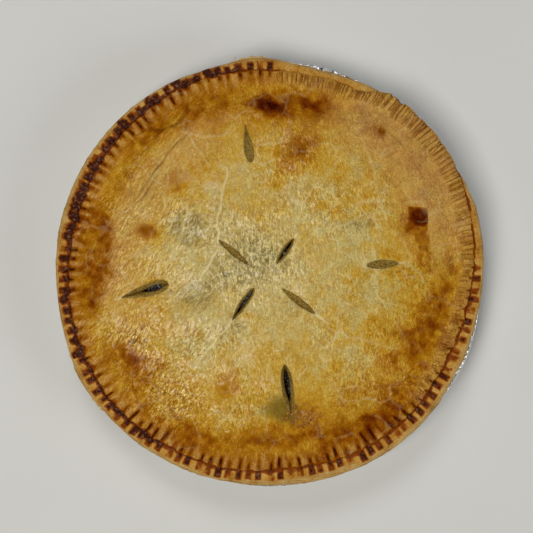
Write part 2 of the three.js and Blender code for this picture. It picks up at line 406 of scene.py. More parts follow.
def fork_marks(turn):
    """For each turn, the number of its fork mark and the millimetres from that mark's middle."""
    along = (turn % TURN) / TURN * CRIMPS
    mark = np.floor(along).astype(int) % CRIMPS
    return mark, (along % 1 - 0.5 - crimp_shift[mark]) * CRIMP_PITCH


def stretch_of(turn, start, end, soft):
    """1 between two angles in degrees, fading to 0 over soft degrees at both ends."""
    middle = (start + end) / 2
    half = (end - start) / 2
    return 1 - ease(half - soft / 2, half + soft / 2, np.abs(around(turn, middle)))


def thick_burn(turn):
    """The left side, where juice boiled over and burnt in blobs along the lid's edge."""
    return stretch_of(turn, *THICK_BURN)


def solid_burn(turn):
    """The middle of the left side, where the blobs have run together."""
    return stretch_of(turn, *SOLID_BURN)


def toothed(turn):
    """Where teeth of the base show outside the lid: not on the right and upper right."""
    return 1 - stretch_of(turn, *NO_TEETH)


def tooth_end(turn):
    """Radius at which the teeth end and the base's plain edge begins."""
    return np.minimum(lid_edge(turn) + TOOTH_LENGTH, base_edge(turn) - PLAIN_EDGE)


def edge_burn_and_shade(turn):
    """How dark the line under the lid's edge is, by angle: burnt juice with painted contact shade under
    the edge, and on the top stretch only a faint painted shade line.
    """
    right = 0.6 * stretch_of(turn, *RIGHT_LINE)
    top = 0.16 * stretch_of(turn, *TOP_SHADE_LINE)
    left = (0.62 + 0.3 * thick_burn(turn)) * ease(0.0, 0.5, toothed(turn))
    return np.max([left, right, top], axis=0)


def edge_line_width(turn):
    """How far that line reaches out from the lid's edge."""
    return 0.7 + 0.9 * toothed(turn) + 0.7 * thick_burn(turn)


def scorching(x, y):
    """Unevenness of the burning, the same on base and lid."""
    return unevenness(x, y, 5, 17) + 0.6 * unevenness(x, y, 1.8, 18)


def burnt_blobs(radius, turn, scorch):
    """1 inside the blobs of burnt juice that sit over the lid's edge at the fork marks."""
    mark, off_mark = fork_marks(turn)
    thick = thick_burn(turn)
    size = blob_size[mark] * (crimp_dark[mark] + (1 - crimp_dark[mark]) * thick)
    along = np.abs(off_mark) / ((1.1 + 0.9 * thick + 0.2 * solid_burn(turn)) * size)
    middle = lid_edge(turn) + 1.5 + 0.4 * blob_shift[mark]
    across = np.abs(radius - middle) / ((2.2 + 0.5 * thick) * (0.4 + 0.6 * size))
    away = (along**4 + across**4) ** 0.25 + (0.35 + 0.25 * thick) * scorch
    dark = (0.55 + 0.45 * thick) * (1 - ease(0.7, 1.05, away))
    return toothed(turn) * np.maximum(dark, 0.3 * (1 - ease(0.9, 1.7, away)))


def split_round(bm, wanted):
    """Halves the edges that run round the axis wherever wanted(radius, height) says so."""
    chosen = []
    for edge in bm.edges:
        start, end = edge.verts[0].co, edge.verts[1].co
        middle = (start + end) / 2
        out = Vector((middle.x, middle.y, 0))
        along = end - start
        level = abs(along.z) < 0.01
        across = abs(along.dot(out)) < 0.2 * along.length * out.length
        if out.length > 1 and level and across and wanted(out.length, middle.z):
            chosen.append(edge)
    bmesh.ops.subdivide_edges(bm, edges=chosen, cuts=1, use_grid_fill=True)


def wall_radius(height, inset):
    """Radius so many millimetres inside the tin's wall, at a height."""
    up = min(1, (height - TIN_WALL_FOOT) / (TIN_WALL_HEAD - TIN_WALL_FOOT))
    foot = TIN_BASE_RADIUS - FOIL
    head = TIN_MOUTH_RADIUS - 2 * FOIL
    return foot + (head - foot) * up - FLUTE_DEPTH - inset


BOWL_FLOOR = FOIL + GAP + PASTRY
BOWL_LIP = RIM_SEAT - 1.5
RIM_ROOT = TIN_MOUTH_RADIUS - 4
RIM_STEP = 0.75


def bottom_profile():
    """Underside of the base from the middle out, its rim, and the bowl back to the middle."""
    floor = FOIL + GAP
    foot = TIN_WALL_FOOT + GAP
    neck = TIN_WALL_HEAD - TIN_CORNER
    rim_count = round((BASE_RIM_RADIUS - RIM_ROOT) / RIM_STEP)
    bead = [BASE_RIM_RADIUS - 0.06 * k * k for k in range(1, 4)]
    return [
        (0, floor),
        (wall_radius(TIN_WALL_FOOT, 2 * TIN_CORNER), floor),
        (wall_radius(foot, 2 * GAP), foot),
        (wall_radius(neck, 2 * GAP), neck),
        (TIN_MOUTH_RADIUS - FOIL, TIN_DEPTH + GAP),
        (BASE_RIM_RADIUS - BASE_UNDERCUT, TIN_DEPTH + GAP),
        (BASE_RIM_RADIUS - 0.3, TIN_DEPTH + GAP + 0.6),
        (BASE_RIM_RADIUS, RIM_EDGE),
        *[(r, RIM_SEAT) for r in bead],
        *[(BASE_RIM_RADIUS - 1.2 - RIM_STEP * k, RIM_SEAT) for k in range(rim_count)],
        (wall_radius(BOWL_LIP, PASTRY), BOWL_LIP),
        (wall_radius(BOWL_FLOOR, PASTRY + TIN_CORNER), BOWL_FLOOR),
        (0, BOWL_FLOOR),
    ]


bottom_mesh = turned(bottom_profile(), CRIMPS)
for outside, above in ((-1, 0), (-1, 0), (2, GAP + 0.3), (2, GAP + 0.3)):
    inner, lower = RIM_ROOT + outside, TIN_DEPTH + above
    split_round(bottom_mesh, lambda radius, height: radius > inner and height > lower)
bottom_crust = finished(bottom_mesh, "bottom_crust_rim")
x, y, z = points_of(bottom_crust)
radius, turn = polar(x, y)
fray = 0.4 * unevenness(x, y, 7, 11) + 0.22 * unevenness(x, y, 2.2, 12)
on_rim = ease(TIN_MOUTH_RADIUS - 3, BASE_RIM_RADIUS - 2, radius) * (z > TIN_DEPTH)
out = radius + (base_edge(turn) + fray - BASE_RIM_RADIUS) * on_rim
on_top = (z > RIM_EDGE + 0.5) & (radius > RIM_ROOT - 0.5)
mark, off_mark = fork_marks(turn)
uneven = 0.35 * unevenness(x, y, 1.6, 20)
past_teeth = out - tooth_end(turn) - 4 * crimp_shift[mark] + uneven
half_gap = 0.6 + 0.6 * crimp_dark[mark]
pressed = 1 - ease(half_gap, half_gap + 0.6, np.abs(off_mark + uneven))
pressed = pressed * (1 - ease(-0.35, 0.35, past_teeth)) * toothed(turn)
layers = 0.14 * np.sin(TURN * out / 1.15 + 2.2 * unevenness(x, y, 7, 14)) * ease(0, 1.0, past_teeth)
dough = 0.14 * unevenness(x, y, 3.2, 15) + 0.08 * unevenness(x, y, 1.3, 16)
scorch = scorching(x, y)
blob = burnt_blobs(out, turn, scorch)
top = rim_top(out, turn) - TOOTH_DEPTH * crimp_force[mark] * pressed + layers + dough + blob
gain = out / np.maximum(radius, 1)
place_points(bottom_crust, x * gain, y * gain, np.where(on_top, top, z))


def give(piece, name, values):
    """Stores one number for each point of the piece, for its material to read."""
    store = piece.data.attributes.new(name, "FLOAT", "POINT")
    store.data.foreach_set("value", np.asarray(values, np.float32))


past_lid = out - lid_edge(turn)
in_gap = pressed * np.clip(1.2 * crimp_dark[mark] - 0.2 + 0.6 * scorch, 0, 1)
# The dark line under the lid's edge: burnt juice, with painted contact shade where the lid sits on the
# rim
line_width = edge_line_width(turn) * (1 + 0.85 * unevenness(x, y, 5, 24))
line = edge_burn_and_shade(turn) * (1 - ease(0.6, 1.2, (past_lid + 0.5 * scorch) / line_width))
line = line * np.clip(0.9 + 0.6 * unevenness(x, y, 4, 25), 0.35, 1)
beside_gap = (1 - ease(1.2, 2.8, np.abs(off_mark))) * (1 - ease(-0.3, 1.2, past_teeth))
caramel = (0.16 + 0.26 * crimp_dark[mark]) * np.clip(0.9 + 0.5 * scorch, 0.3, 1.2)
caramel = caramel * beside_gap * toothed(turn)
burnt = np.clip(np.max([in_gap, blob, line, caramel], axis=0), 0, 1)
give(bottom_crust, "burnt", burnt * on_top)
give(bottom_crust, "edge", ease(-0.5, 1.5, past_teeth))
give(bottom_crust, "layers", base_edge(turn) - out + 0.5 * unevenness(x, y, 8, 19))
to_metres(bottom_crust)


def read(tree, name):
    """One of the numbers stored for each point of the piece."""
    node = tree.nodes.new("ShaderNodeAttribute")
    node.attribute_name = name
    return node.outputs["Fac"]


def graded(tree, value, stops):
    """A run of colours: stops are (place from 0 to 1, colour)."""
    node = tree.nodes.new("ShaderNodeValToRGB")
    run = node.color_ramp.elements
    while len(run) < len(stops):
        run.new(1)
    for step, (place, colour) in zip(run, stops):
        step.position = place
        step.color = colour
    wire(tree, value, node.inputs["Fac"])
    return node.outputs["Color"]


# The lighter burnt colour is a painted highlight: glint specks on the burnt syrup
BURNT_PAINTED_GLINT = tone(136, 88, 62)
BURNT_DARK = tone(66, 24, 4)
BURNT_EDGE = tone(142, 68, 5)


def added(tree, value, weight, total):
    """A cloudy value's swing about 0.5, weighed and added to a total."""
    return reckoned(tree, "MULTIPLY_ADD", reckoned(tree, "SUBTRACT", value, 0.5), weight, also=total)


def scorched(tree, place, pastry, burnt):
    """Pastry colour going through caramel to burnt syrup, speckled with painted glints."""
    bubbles = mottle(tree, place, 1.8, 2)
    syrup = blend(tree, spread(tree, bubbles, 0.48, 0.74), BURNT_DARK, BURNT_PAINTED_GLINT)
    caramel = blend(tree, spread(tree, burnt, 0.04, 0.34), pastry, BURNT_EDGE)
    ragged = added(tree, bubbles, 0.5, burnt)
    return blend(tree, spread(tree, ragged, 0.38, 0.86), caramel, syrup)


def rim_pastry():
    material, tree, put = finish("rim_pastry")
    place = at_surface(tree)
    edge = read(tree, "edge")
    burnt = read(tree, "burnt")
    cloud = mottle(tree, place, 9, 3)
    crumb = mottle(tree, place, 1.1, 4)
    shade = reckoned(tree, "MULTIPLY_ADD", crumb, 0.45, also=times(tree, cloud, 0.55))
    rolled = reckoned(tree, "SINE", times(tree, read(tree, "layers"), TURN / 1.3))
    layered = reckoned(tree, "MULTIPLY_ADD", rolled, 0.05, also=shade)
    plain = graded(
        tree,
        layered,
        [(0.3, tone(146, 102, 44)), (0.48, tone(188, 147, 80)), (0.68, tone(212, 180, 116))],
    )
    teeth = graded(
        tree,
        shade,
        [(0.3, tone(144, 86, 16)), (0.48, tone(194, 139, 52)), (0.66, tone(220, 180, 100))],
    )
    pastry = blend(tree, edge, teeth, plain)
    put("Base Color", scorched(tree, place, pastry, burnt))
    put("Roughness", spread(tree, burnt, 0.2, 0.8, 0.62, 0.4))
    put("Specular IOR Level", 0.08)
    put("Normal", raised(tree, crumb, 0.45))
    return material


bottom_crust.data.materials.append(rim_pastry())
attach(bottom_crust, "root")
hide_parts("bottom_crust")

# Apple filling.
# Sliced apple cooked down in its dark spiced syrup, heaped in the lined tin up to the lid.
# Only glints of it show, at the bottom of the steam slits.
LID_THICKNESS = 2.8
LID_SEAT = RIM_SEAT + GAP + LID_THICKNESS
LAP_DROOP_INSET = 2.5
CRIMP_LENGTH = 13
DOME_RISE = 13.5
DOME_FULLNESS = 3
LUMP_HEIGHT = 0.7


def lumps(x, y):
    """Low lumps where the sliced fruit pushes up the lid."""
    broad = np.sin(x / 15 + 0.8) * np.cos(y / 13 - 0.4)
    tight = np.sin((x + y) / 10 + 2) * np.cos((x - y) / 12 + 1)
    return LUMP_HEIGHT * (broad + 0.7 * tight)


def lid_top(radius, turn):
    """The lid's plain top: a dome over the fruit and a band that lies on the base's rim."""
    dome_edge = lid_edge(turn) - CRIMP_LENGTH
    share = np.clip(radius / dome_edge, 0, 1)
    lump = lumps(radius * np.cos(turn), radius * np.sin(turn)) * (1 - share**4)
    dome = LID_SEAT + DOME_RISE * (1 - share**DOME_FULLNESS) + lump
    rested = np.minimum(radius, base_edge(turn) - LAP_DROOP_INSET)
    return np.where(radius < dome_edge, dome, rim_top(rested, turn) + GAP + LID_THICKNESS)


FRUIT_STEPS = 160
FRUIT_TOP_RADIUS = 97
FRUIT_TOP_RINGS = 48
FRUIT_LEVEL = 40


def fruit_profile():
    """Floor and side of the filling, and a level top that is heaped afterwards."""
    floor = BOWL_FLOOR + GAP
    shoulder = BOWL_LIP - TIN_CORNER
    floor_radius = wall_radius(BOWL_FLOOR, PASTRY + TIN_CORNER) - 2 * GAP
    shoulder_radius = wall_radius(BOWL_LIP, PASTRY) - 2 * GAP - TIN_CORNER
    rings = [FRUIT_TOP_RADIUS * (1 - k / FRUIT_TOP_RINGS) for k in range(FRUIT_TOP_RINGS + 1)]
    side = [(0, floor), (floor_radius, floor), (shoulder_radius, shoulder)]
    return side + [(ring, FRUIT_LEVEL) for ring in rings]


filling = finished(turned(fruit_profile(), FRUIT_STEPS), "cooked_apple")
x, y, z = points_of(filling)
radius, turn = polar(x, y)
slices = 0.5 + 0.5 * unevenness(x, y, 11, 21)
pulp = 0.5 + 0.5 * unevenness(x, y, 3, 22)
heap = lid_top(radius, turn) - LID_THICKNESS - GAP - 2.2 * slices - pulp
place_points(filling, x, y, np.where(z > FRUIT_LEVEL - 1, heap, z))
to_metres(filling)


def dark_syrup():
    material, tree, put = finish("dark_syrup")
    place = at_surface(tree)
    pulp = mottle(tree, place, 4, 4, 0.5)
    colour = graded(
        tree,
        pulp,
        [(0.35, tone(12, 6, 1)), (0.55, tone(34, 18, 4)), (0.75, tone(84, 58, 24))],
    )
    put("Base Color", colour)
    put("Roughness", spread(tree, pulp, 0.3, 0.7, 0.08, 0.14))
    put("Specular IOR Level", 0.28)
    put("Normal", raised(tree, mottle(tree, place, 1.6, 1, 0.5), 0.9))
    return material


filling.data.materials.append(dark_syrup())
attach(filling, "root")
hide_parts("apple_filling")

# Top crust.
# A second round of shortcrust laid over the fruit, crimped to the base with a fork, slit with a
# knife to let steam out and brushed with egg, which browned in patches and burnt along the edge.
LID_EDGE_ROUND = 0.9
LEAST_THICKNESS = 0.5
CRIMP_DEPTH = 1.1
DISC_STEP = 1.3
CRIMP_STEP = 1.15
FINE_FROM = 100
FLAT_TOP = 2
# A slit whose slot takes no more than this share of its width ends as a groove
SHALLOW = 0.3
CUTTER_SIDES = 48
CUTTER_REACH = 6
SHARP_ANGLE = math.radians(50)
# Stretches of the lid: (first angle, last angle, degrees over which each end fades)
FINE_LINES = (-42, 90, 12)
SHORT_MARKS = (90, 116, 6)
DUSTY_RIGHT = (8, 68, 24)
DUSTY_LEFT = (112, 196, 30)


class Slit:
    """A knife cut: a pointed opening whose sides slope in to a narrower slot.

    The slot takes a share of the opening's width and lies between two places along it.
    The tears are the lengths of pale stretched lines past the two tips.
    """

    def __init__(self, x, y, length, width, angle, ends, slope, slot, slot_from, slot_to, tears):
        self.x, self.y, self.length, self.width = x, y, length, width
        self.lean = math.radians(angle)
        self.ends = ends
        self.slope = slope
        self.slot = slot
        self.slot_from, self.slot_to = slot_from, slot_to
        self.tears = tears

    def half_width(self, along):
        """Half the opening's width: each end is rounder the smaller its number is."""
        start, end = self.ends
        peak = (start - end) / (start + end)
        fullest = (1 + peak) ** start * (1 - peak) ** end
        opened = np.clip(1 + along, 0, 2) ** start * np.clip(1 - along, 0, 2) ** end
        return self.width / 2 * opened / fullest

    def local(self, x, y):
        """Places along the cut, from -1 to 1 between its tips, and millimetres to its side."""
        dx, dy = x - self.x, y - self.y
        along = dx * math.cos(self.lean) + dy * math.sin(self.lean)
        aside = dy * math.cos(self.lean) - dx * math.sin(self.lean)
        return along / (self.length / 2), aside

    def spot(self, along, aside):
        """The x and y of a place along and aside from the cut."""
        run = along * self.length / 2
        return (
            self.x + run * math.cos(self.lean) - aside * math.sin(self.lean),
            self.y + run * math.sin(self.lean) + aside * math.cos(self.lean),
        )


SLITS = [
    Slit(-12.5, 73.6, 23.2, 5.7, 279, (1.3, 0.55), 1.6, 0.25, -0.3, 0.85, (0, 0)),
    Slit(-70.5, -9.6, 28.4, 7.8, 16, (1.1, 0.45), 1.6, 0.42, -0.05, 0.72, (3, 0)),
    Slit(10.0, -65.0, 29.3, 6.9, 278, (0.55, 0.75), 1.8, 0.42, -0.78, 0.4, (0, 2)),
    Slit(62.9, 5.4, 18.5, 5.2, 4, (0.6, 0.7), 0.9, 0.1, -0.8, 0.7, (0, 7)),
    Slit(8.4, 12.7, 17.6, 4.0, 55.7, (0.7, 0.7), 1.5, 0.34, -0.6, 0.7, (2, 3)),
    Slit(-14.9, -16.7, 21.3, 4.5, 55, (0.8, 0.6), 1.5, 0.4, -0.6, 0.8, (6, 0)),
    Slit(-20.4, 12.1, 21.0, 3.5, 320.4, (0.7, 0.7), 1.1, 0.25, -0.8, 0.8, (0, 0)),
    Slit(16.0, -15.3, 23.0, 4.0, 322.8, (0.7, 0.7), 1.3, 0.2, -0.5, 0.6, (0, 9)),
]
# Folds pressed in while the lid was laid: (depth, line of (x, y))
FOLDS = [
    (1.0, [(-77, 75), (-75, 79), (-70, 82), (-61, 80), (-53, 84), (-48, 91), (-46, 100)]),
    (0.7, [(-73, 74), (-66, 77), (-59, 81), (-52, 85)]),
    (1.0, [(-76, 41), (-70, 50), (-65, 56), (-61, 62), (-57, 68), (-52, 75), (-46, 78)]),
    (0.8, [(-77, 37), (-72, 42), (-66, 50), (-60, 58)]),
    (0.7, [(-81, 42), (-78, 52), (-75, 61), (-70, 71), (-66, 77)]),
    (0.5, [(-86, 46), (-80, 58), (-74, 66), (-68, 72)]),
    (0.5, [(-72, 34), (-66, 43), (-60, 51), (-55, 60)]),
    (0.35, [(62, 84), (70, 78), (80, 66), (88, 52)]),
    (0.3, [(20, 92), (36, 88), (52, 86)]),
]
# Thin stretched lines that stayed pale: (how pale, line of (x, y))
VEINS = [
    (0.7, [(-50, 81), (-43, 73), (-37, 65), (-33, 60)]),
    (0.6, [(-46, 78), (-36, 77), (-25, 78), (-20, 85)]),
    (1.0, [(-23, 58), (-26, 45), (-29, 33), (-29, 22), (-30, 12), (-35, 2), (-39, -4)]),
    (0.6, [(-45, 40), (-48, 31), (-51, 18), (-54, 8)]),
    (0.6, [(-57, 55), (-58, 46), (-61, 32), (-67, 20)]),
    (0.5, [(-92, 31), (-90, 26), (-86, 20)]),
    (0.5, [(46, 84), (49, 80), (52, 75), (55, 67), (57, 60), (58, 52), (62, 37), (67, 26)]),
    (0.5, [(44, -47), (41, -55)]),
    (0.6, [(54, -70), (61, -72), (67, -70), (69, -62)]),
    (0.5, [(39, -68), (44, -71), (54, -70)]),
    (0.5, [(-26.8, -78.7), (-27.5, -83), (-29.3, -89.5)]),
    (0.5, [(-3, -77.6), (-2.6, -84), (-1.5, -92.4)]),
    (0.7, [(76, 4), (80, 4), (84, 0), (86, -4)]),
    (0.4, [(25, -22), (32, -26), (39, -17), (47, -5)]),
    (0.5, [(40, -28), (36, -36), (35, -42)]),
    (0.4, [(33, 24), (42, 29), (56, 35)]),
    (0.6, [(-22, -26), (-30, -37), (-40, -50)]),
    (0.4, [(67, 26), (74, 20), (80, 8)]),
    (0.4, [(-10, 62), (-4, 60), (6, 66), (9, 72)]),
    (0.45, [(78, -20), (72, -28), (75, -36), (70, -44)]),
]
# The burnt drop of juice on the right: its sides, and the run of browned glaze below it
DROP_LEFT, DROP_RIGHT = 75.6, 88.8
DROP_LOW, DROP_TOP = 26.0, 37.8
DROP_UPPER = [(DROP_LEFT, DROP_TOP), (DROP_RIGHT, DROP_TOP)]
DROP_SIDES = DROP_UPPER + [(DROP_RIGHT, DROP_LOW), (DROP_LEFT, DROP_LOW)]
DROP_CORE = (84.2, 31.4, 6.4)
DROP_RUN = [(82, 26), (84, 19), (87.5, 12), (88, 5)]


def along_path(x, y, path):
    """Distance to a line through points, and the share of its length at the nearest place."""
    best = np.full(np.shape(x), 1e9)
    share = np.zeros(np.shape(x))
    count = len(path) - 1
    for k, ((ax, ay), (bx, by)) in enumerate(zip(path, path[1:])):
        dx, dy = bx - ax, by - ay
        t = np.clip(((x - ax) * dx + (y - ay) * dy) / (dx * dx + dy * dy), 0, 1)
        away = np.hypot(x - ax - t * dx, y - ay - t * dy)
        nearer = away < best
        best = np.where(nearer, away, best)
        share = np.where(nearer, (k + t) / count, share)
    return best, share


def laid_out(radius, turn):
    """Where a ring of the flat round comes to lie once its edge is drawn to the real outline."""
    return radius + (lid_edge(turn) - LID_RADIUS) * ease(60, 100, radius)


def lid_profile():
    """Top of the flat round from the middle out, its edge, and its underside back to the middle."""
    crimp_start = LID_RADIUS - CRIMP_LENGTH - 2
    disc = [DISC_STEP * k for k in range(round(crimp_start / DISC_STEP))]
    band_count = round((LID_RADIUS - LID_EDGE_ROUND - crimp_start) / CRIMP_STEP)
    band = [crimp_start + CRIMP_STEP * k for k in range(band_count + 1)]
    edge = [(LID_RADIUS - 0.25, 1.4), (LID_RADIUS, 1.1), (LID_RADIUS - 0.15, 0.6)]
    under = [LID_RADIUS - 0.6, 110, 104, 98, 90, 80, 66, 50, 30, 12, 0]
    return [(r, FLAT_TOP) for r in disc + band] + edge + [(r, 0) for r in under]


def refine_top(bm, near):
    """Halves the edges of the top's faces wherever near(x, y) says so."""
    faces = [face for face in bm.faces if face.calc_center_median().z > 0.75 * FLAT_TOP]
    middles = np.array([face.calc_center_median() for face in faces])
    radius, turn = polar(middles[:, 0], middles[:, 1])
    out = laid_out(radius, turn)
    chosen = near(out * np.cos(turn), out * np.sin(turn))
    edges = {edge for face, wanted in zip(faces, chosen) if wanted for edge in face.edges}
    bmesh.ops.subdivide_edges(bm, edges=list(edges), cuts=1, use_grid_fill=True)


def near_slits(x, y, margin):
    """Which places lie in a slit or within the margin of one."""
    close = np.zeros(np.shape(x), bool)
    for slit in SLITS:
        along, aside = slit.local(x, y)
        tip = 1 + (margin + 1) / (slit.length / 2)
        close |= (np.abs(along) < tip) & (np.abs(aside) < slit.width / 2 + margin)
    return close


def near_lines(x, y, lines, margin):
    """Which places lie within the margin of a line."""
    return np.min([along_path(x, y, line)[0] for line in lines], axis=0) < margin


fine_lines = [path for depth, path in FOLDS] + [DROP_SIDES]
pale_lines = [path for strength, path in VEINS]
lid_mesh = turned(lid_profile(), CRIMPS)
for inner in (25, 50, FINE_FROM, FINE_FROM + 1.5):
    split_round(lid_mesh, lambda radius, height: radius > inner and height > 0.25 * FLAT_TOP)
for lines, margin, beside in ((fine_lines + pale_lines, 2.0, 2.0), (fine_lines, 1.4, 1.2)):
    refine_top(lid_mesh, lambda x, y: near_slits(x, y, beside) | near_lines(x, y, lines, margin))
lid = finished(lid_mesh, "top_crust_lid")

# Blisters raised by steam: (x, y, half length, half width, angle, height)
BLISTERS = [
    (-51.5, 52, 7.5, 6, 20, 1.0),
    (-69, 23.8, 7, 4.2, -5, 1.1),
    (-23.4, -61, 8.5, 6.5, 70, 0.7),
    (28.6, 36.9, 4.5, 3.2, 20, 0.6),
    (-10.3, -24.4, 4.5, 2.8, 0, 0.6),
    (29, -56, 3.5, 2.6, 0, 0.5),
    (58, 80.6, 7.5, 4, -20, 0.6),
    (-35, 91, 15, 9, 10, 0.9),
    (-79, -46, 8, 6, -40, 0.5),
    (-90, -6, 4, 3, 20, 0.5),
]


def patched(x, y, patches, hardness):
    """Sum of oval patches; a harder one keeps its strength up to a sharper edge."""
    total = np.zeros(np.shape(x))
    for px, py, length, width, angle, amount in patches:
        lean = math.radians(angle)
        u = ((x - px) * math.cos(lean) + (y - py) * math.sin(lean)) / length
        v = ((y - py) * math.cos(lean) - (x - px) * math.sin(lean)) / width
        total += amount * np.exp(-((u * u + v * v) ** hardness))
    return total


def wandered(x, y):
    """Places shifted a little, so that lines and patches drawn there come out uneven."""
    return x + 1.3 * unevenness(x, y, 7, 31), y + 1.3 * unevenness(x, y, 7, 32)


def fold_body(depth, share):
    """A fold's depth along its line, which runs out at both ends."""
    return depth * np.sin(np.pi * np.clip(share, 0.04, 0.96)) ** 0.5


def dough_relief(x, y):
    """Heights of the lid's wrinkles, folds and pale raised lines over its plain form."""
    wander_x, wander_y = wandered(x, y)
    swollen = 0.5 * unevenness(x, y, 4.5, 34) + 0.3 * unevenness(x, y, 2.4, 35)
    relief = 0.35 * swollen + 0.8 * unevenness(x, y, 16, 36) + 0.55 * unevenness(x, y, 9, 33)
    relief += patched(wander_x, wander_y, BLISTERS, 1.2)
    for depth, path in FOLDS:
        away, share = along_path(wander_x, wander_y, path)
        ridge = np.exp(-((away - 1.8) ** 2) / 2.2)
        groove = np.exp(-((away / 0.6) ** 2))
        relief += 0.6 * fold_body(depth, share) * (ridge - groove)
    for strength, path in VEINS:
        away = along_path(wander_x, wander_y, path)[0]
        relief += 0.5 * strength * np.exp(-((away / 0.9) ** 2))
    return relief


def finely_lined(turn):
    """The right and upper right, where the fork left many thin lines and not wide marks."""
    return stretch_of(turn, *FINE_LINES)


def crimping(radius, turn):
    """How deep the fork has pressed, from 0 to 1, and how far in from the edge that is."""
    mark, off_mark = fork_marks(turn)
    inset = lid_edge(turn) - radius
    fine = finely_lined(turn)
    bent = off_mark + 0.5 * unevenness(ARC_RADIUS * turn, inset, 5, 53)
    short = 0.35 * np.maximum(solid_burn(turn), stretch_of(turn, *SHORT_MARKS))
    reach = (crimp_reach[mark] * (1 - 0.5 * fine) + 4.5 * fine + 4 * lapping(turn)) * (1 - short)
    body = ease(-0.1, 0.4, inset) * (1 - ease(reach - 3.5, reach, inset))
    wide = 1 - ease(0.1, 0.85 + 0.5 * crimp_dark[mark], np.abs(bent))
    pair = 1 - ease(0.05, 0.5, np.abs(np.abs(bent) - 1.5))
    hair = 1 - ease(0.0, 0.45, np.abs(unevenness(ARC_RADIUS * turn, inset / 9, 1.5, 39)))
    thin = np.maximum(0.75 * pair, 0.6 * hair)
    rear = fine * (1 - toothed(turn) * (1 - ease(1.5, 3.5, inset)))
    force = crimp_force[mark] * (1 - 0.5 * fine) + 0.4 * fine
    return force * body * ((1 - rear) * wide + rear * thin), inset


def pads(radius, turn):
    """1 on the raised pads between the fork marks, 0 in the marks and inside the crimped band."""
    mark, off_mark = fork_marks(turn)
    inset = lid_edge(turn) - radius
    reach = crimp_reach[mark]
    return ease(1.0, 2.4, np.abs(off_mark)) * (1 - ease(0.6 * reach, 1.3 * reach, inset))


def slit_lips(x, y):
    """1 at the slits' edges, which the knife drew down, and 0 away from them."""
    total = 0
    for slit in SLITS:
        along, aside = slit.local(x, y)
        beside = np.maximum(np.abs(aside) - slit.half_width(np.clip(along, -1, 1)), 0)
        total = total + np.exp(-((beside / 0.7) ** 2)) * (np.abs(along) < 1.05)
    return np.minimum(total, 1)


x, y, z = points_of(lid)
radius, turn = polar(x, y)
upper = z > 0.25 * FLAT_TOP
edge_fray = 0.25 * unevenness(x, y, 6, 37) + 0.2 * unevenness(x, y, 2, 38)
out = laid_out(radius, turn) + edge_fray * ease(60, 100, radius)
pressed, inset = crimping(out, turn)
scallop = (1.0 + 0.8 * lapping(turn)) * (1 - ease(0, 3, inset)) * pressed
out = out - scallop
x, y = out * np.cos(turn), out * np.sin(turn)
plain_top = lid_top(out, turn)
relief = dough_relief(x, y) * (1 - 0.6 * ease(CRIMP_LENGTH, 4, inset))
rounded = (z - FLAT_TOP) * upper - 1.2 * (1 - ease(0, 4, inset))
scorch = scorching(x, y)
boiled = 0.7 * burnt_blobs(out, turn, scorch)
sunk = CRIMP_DEPTH * pressed + 0.35 * slit_lips(x, y)
height = plain_top + relief - sunk + rounded + boiled
bottom = plain_top - LID_THICKNESS
place_points(lid, x, y, np.where(upper, np.maximum(height, bottom + LEAST_THICKNESS), bottom))


def cutter_ring(bm, slit, depth, to_slot):
    """A ring of a slit's cutter, so far above the lid and narrowed so far to the slot."""
    ring = bmesh.ops.create_circle(bm, cap_ends=False, segments=CUTTER_SIDES, radius=1)["verts"]
    slot_middle = (slit.slot_from + slit.slot_to) / 2
    slot_half = (slit.slot_to - slit.slot_from) / 2
    for vert in ring:
        angle = math.atan2(vert.co.y, vert.co.x)
        wide_along = math.cos(angle)
        along = wide_along * (1 - to_slot) + (slot_middle + slot_half * wide_along) * to_slot
        side = math.copysign(float(slit.half_width(wide_along)), math.sin(angle))
        px, py = slit.spot(along, side * (1 - to_slot + slit.slot * to_slot))
        vert.co = (px, py, float(lid_top(*polar(px, py))) + depth)
    return set(ring)


def slit_cutter(slit, name):
    """A closed wedge that follows the lid: as wide as the cut above, and as its slot below."""
    bm = bmesh.new()
    levels = [(CUTTER_REACH, 0.0), (0.3, 0.0), (-0.5 * slit.slope, 0.35), (-slit.slope, 0.9)]
    if slit.slot > SHALLOW:
        levels.append((-CUTTER_REACH, 1.0))
    rings = [cutter_ring(bm, slit, depth, to_slot) for depth, to_slot in levels]
    for first, second in zip(rings, rings[1:]):
        sides = [e for e in bm.edges if first.issuperset(e.verts) or second.issuperset(e.verts)]
        bmesh.ops.bridge_loops(bm, edges=sides)
    bmesh.ops.holes_fill(bm, edges=[e for e in bm.edges if e.is_boundary], sides=0)
    bmesh.ops.recalc_face_normals(bm, faces=bm.faces)
    return finished(bm, name)


cutters = [slit_cutter(slit, f"slit_cutter_{k}") for k, slit in enumerate(SLITS)]
for cutter in cutters:
    cut = lid.modifiers.new(cutter.name, "BOOLEAN")
    cut.operation = "DIFFERENCE"
    cut.solver = "MANIFOLD"
    cut.object = cutter
bpy.context.view_layer.update()
slit_mesh = bpy.data.meshes.new_from_object(lid.evaluated_get(bpy.context.evaluated_depsgraph_get()))
lid.modifiers.clear()
lid.data = slit_mesh
slit_mesh.name = lid.name
for cutter in cutters:
    bpy.data.objects.remove(cutter)
slit_mesh.shade_smooth()
slit_mesh.set_sharp_from_angle(angle=SHARP_ANGLE)

# How brown the lid is from its middle outwards, before its patches
BAKE_RADII = [0, 22, 33, 56, 75, 90, 100]
BAKE_DEPTHS = [0.06, 0.085, 0.135, 0.205, 0.305, 0.43, 0.51]
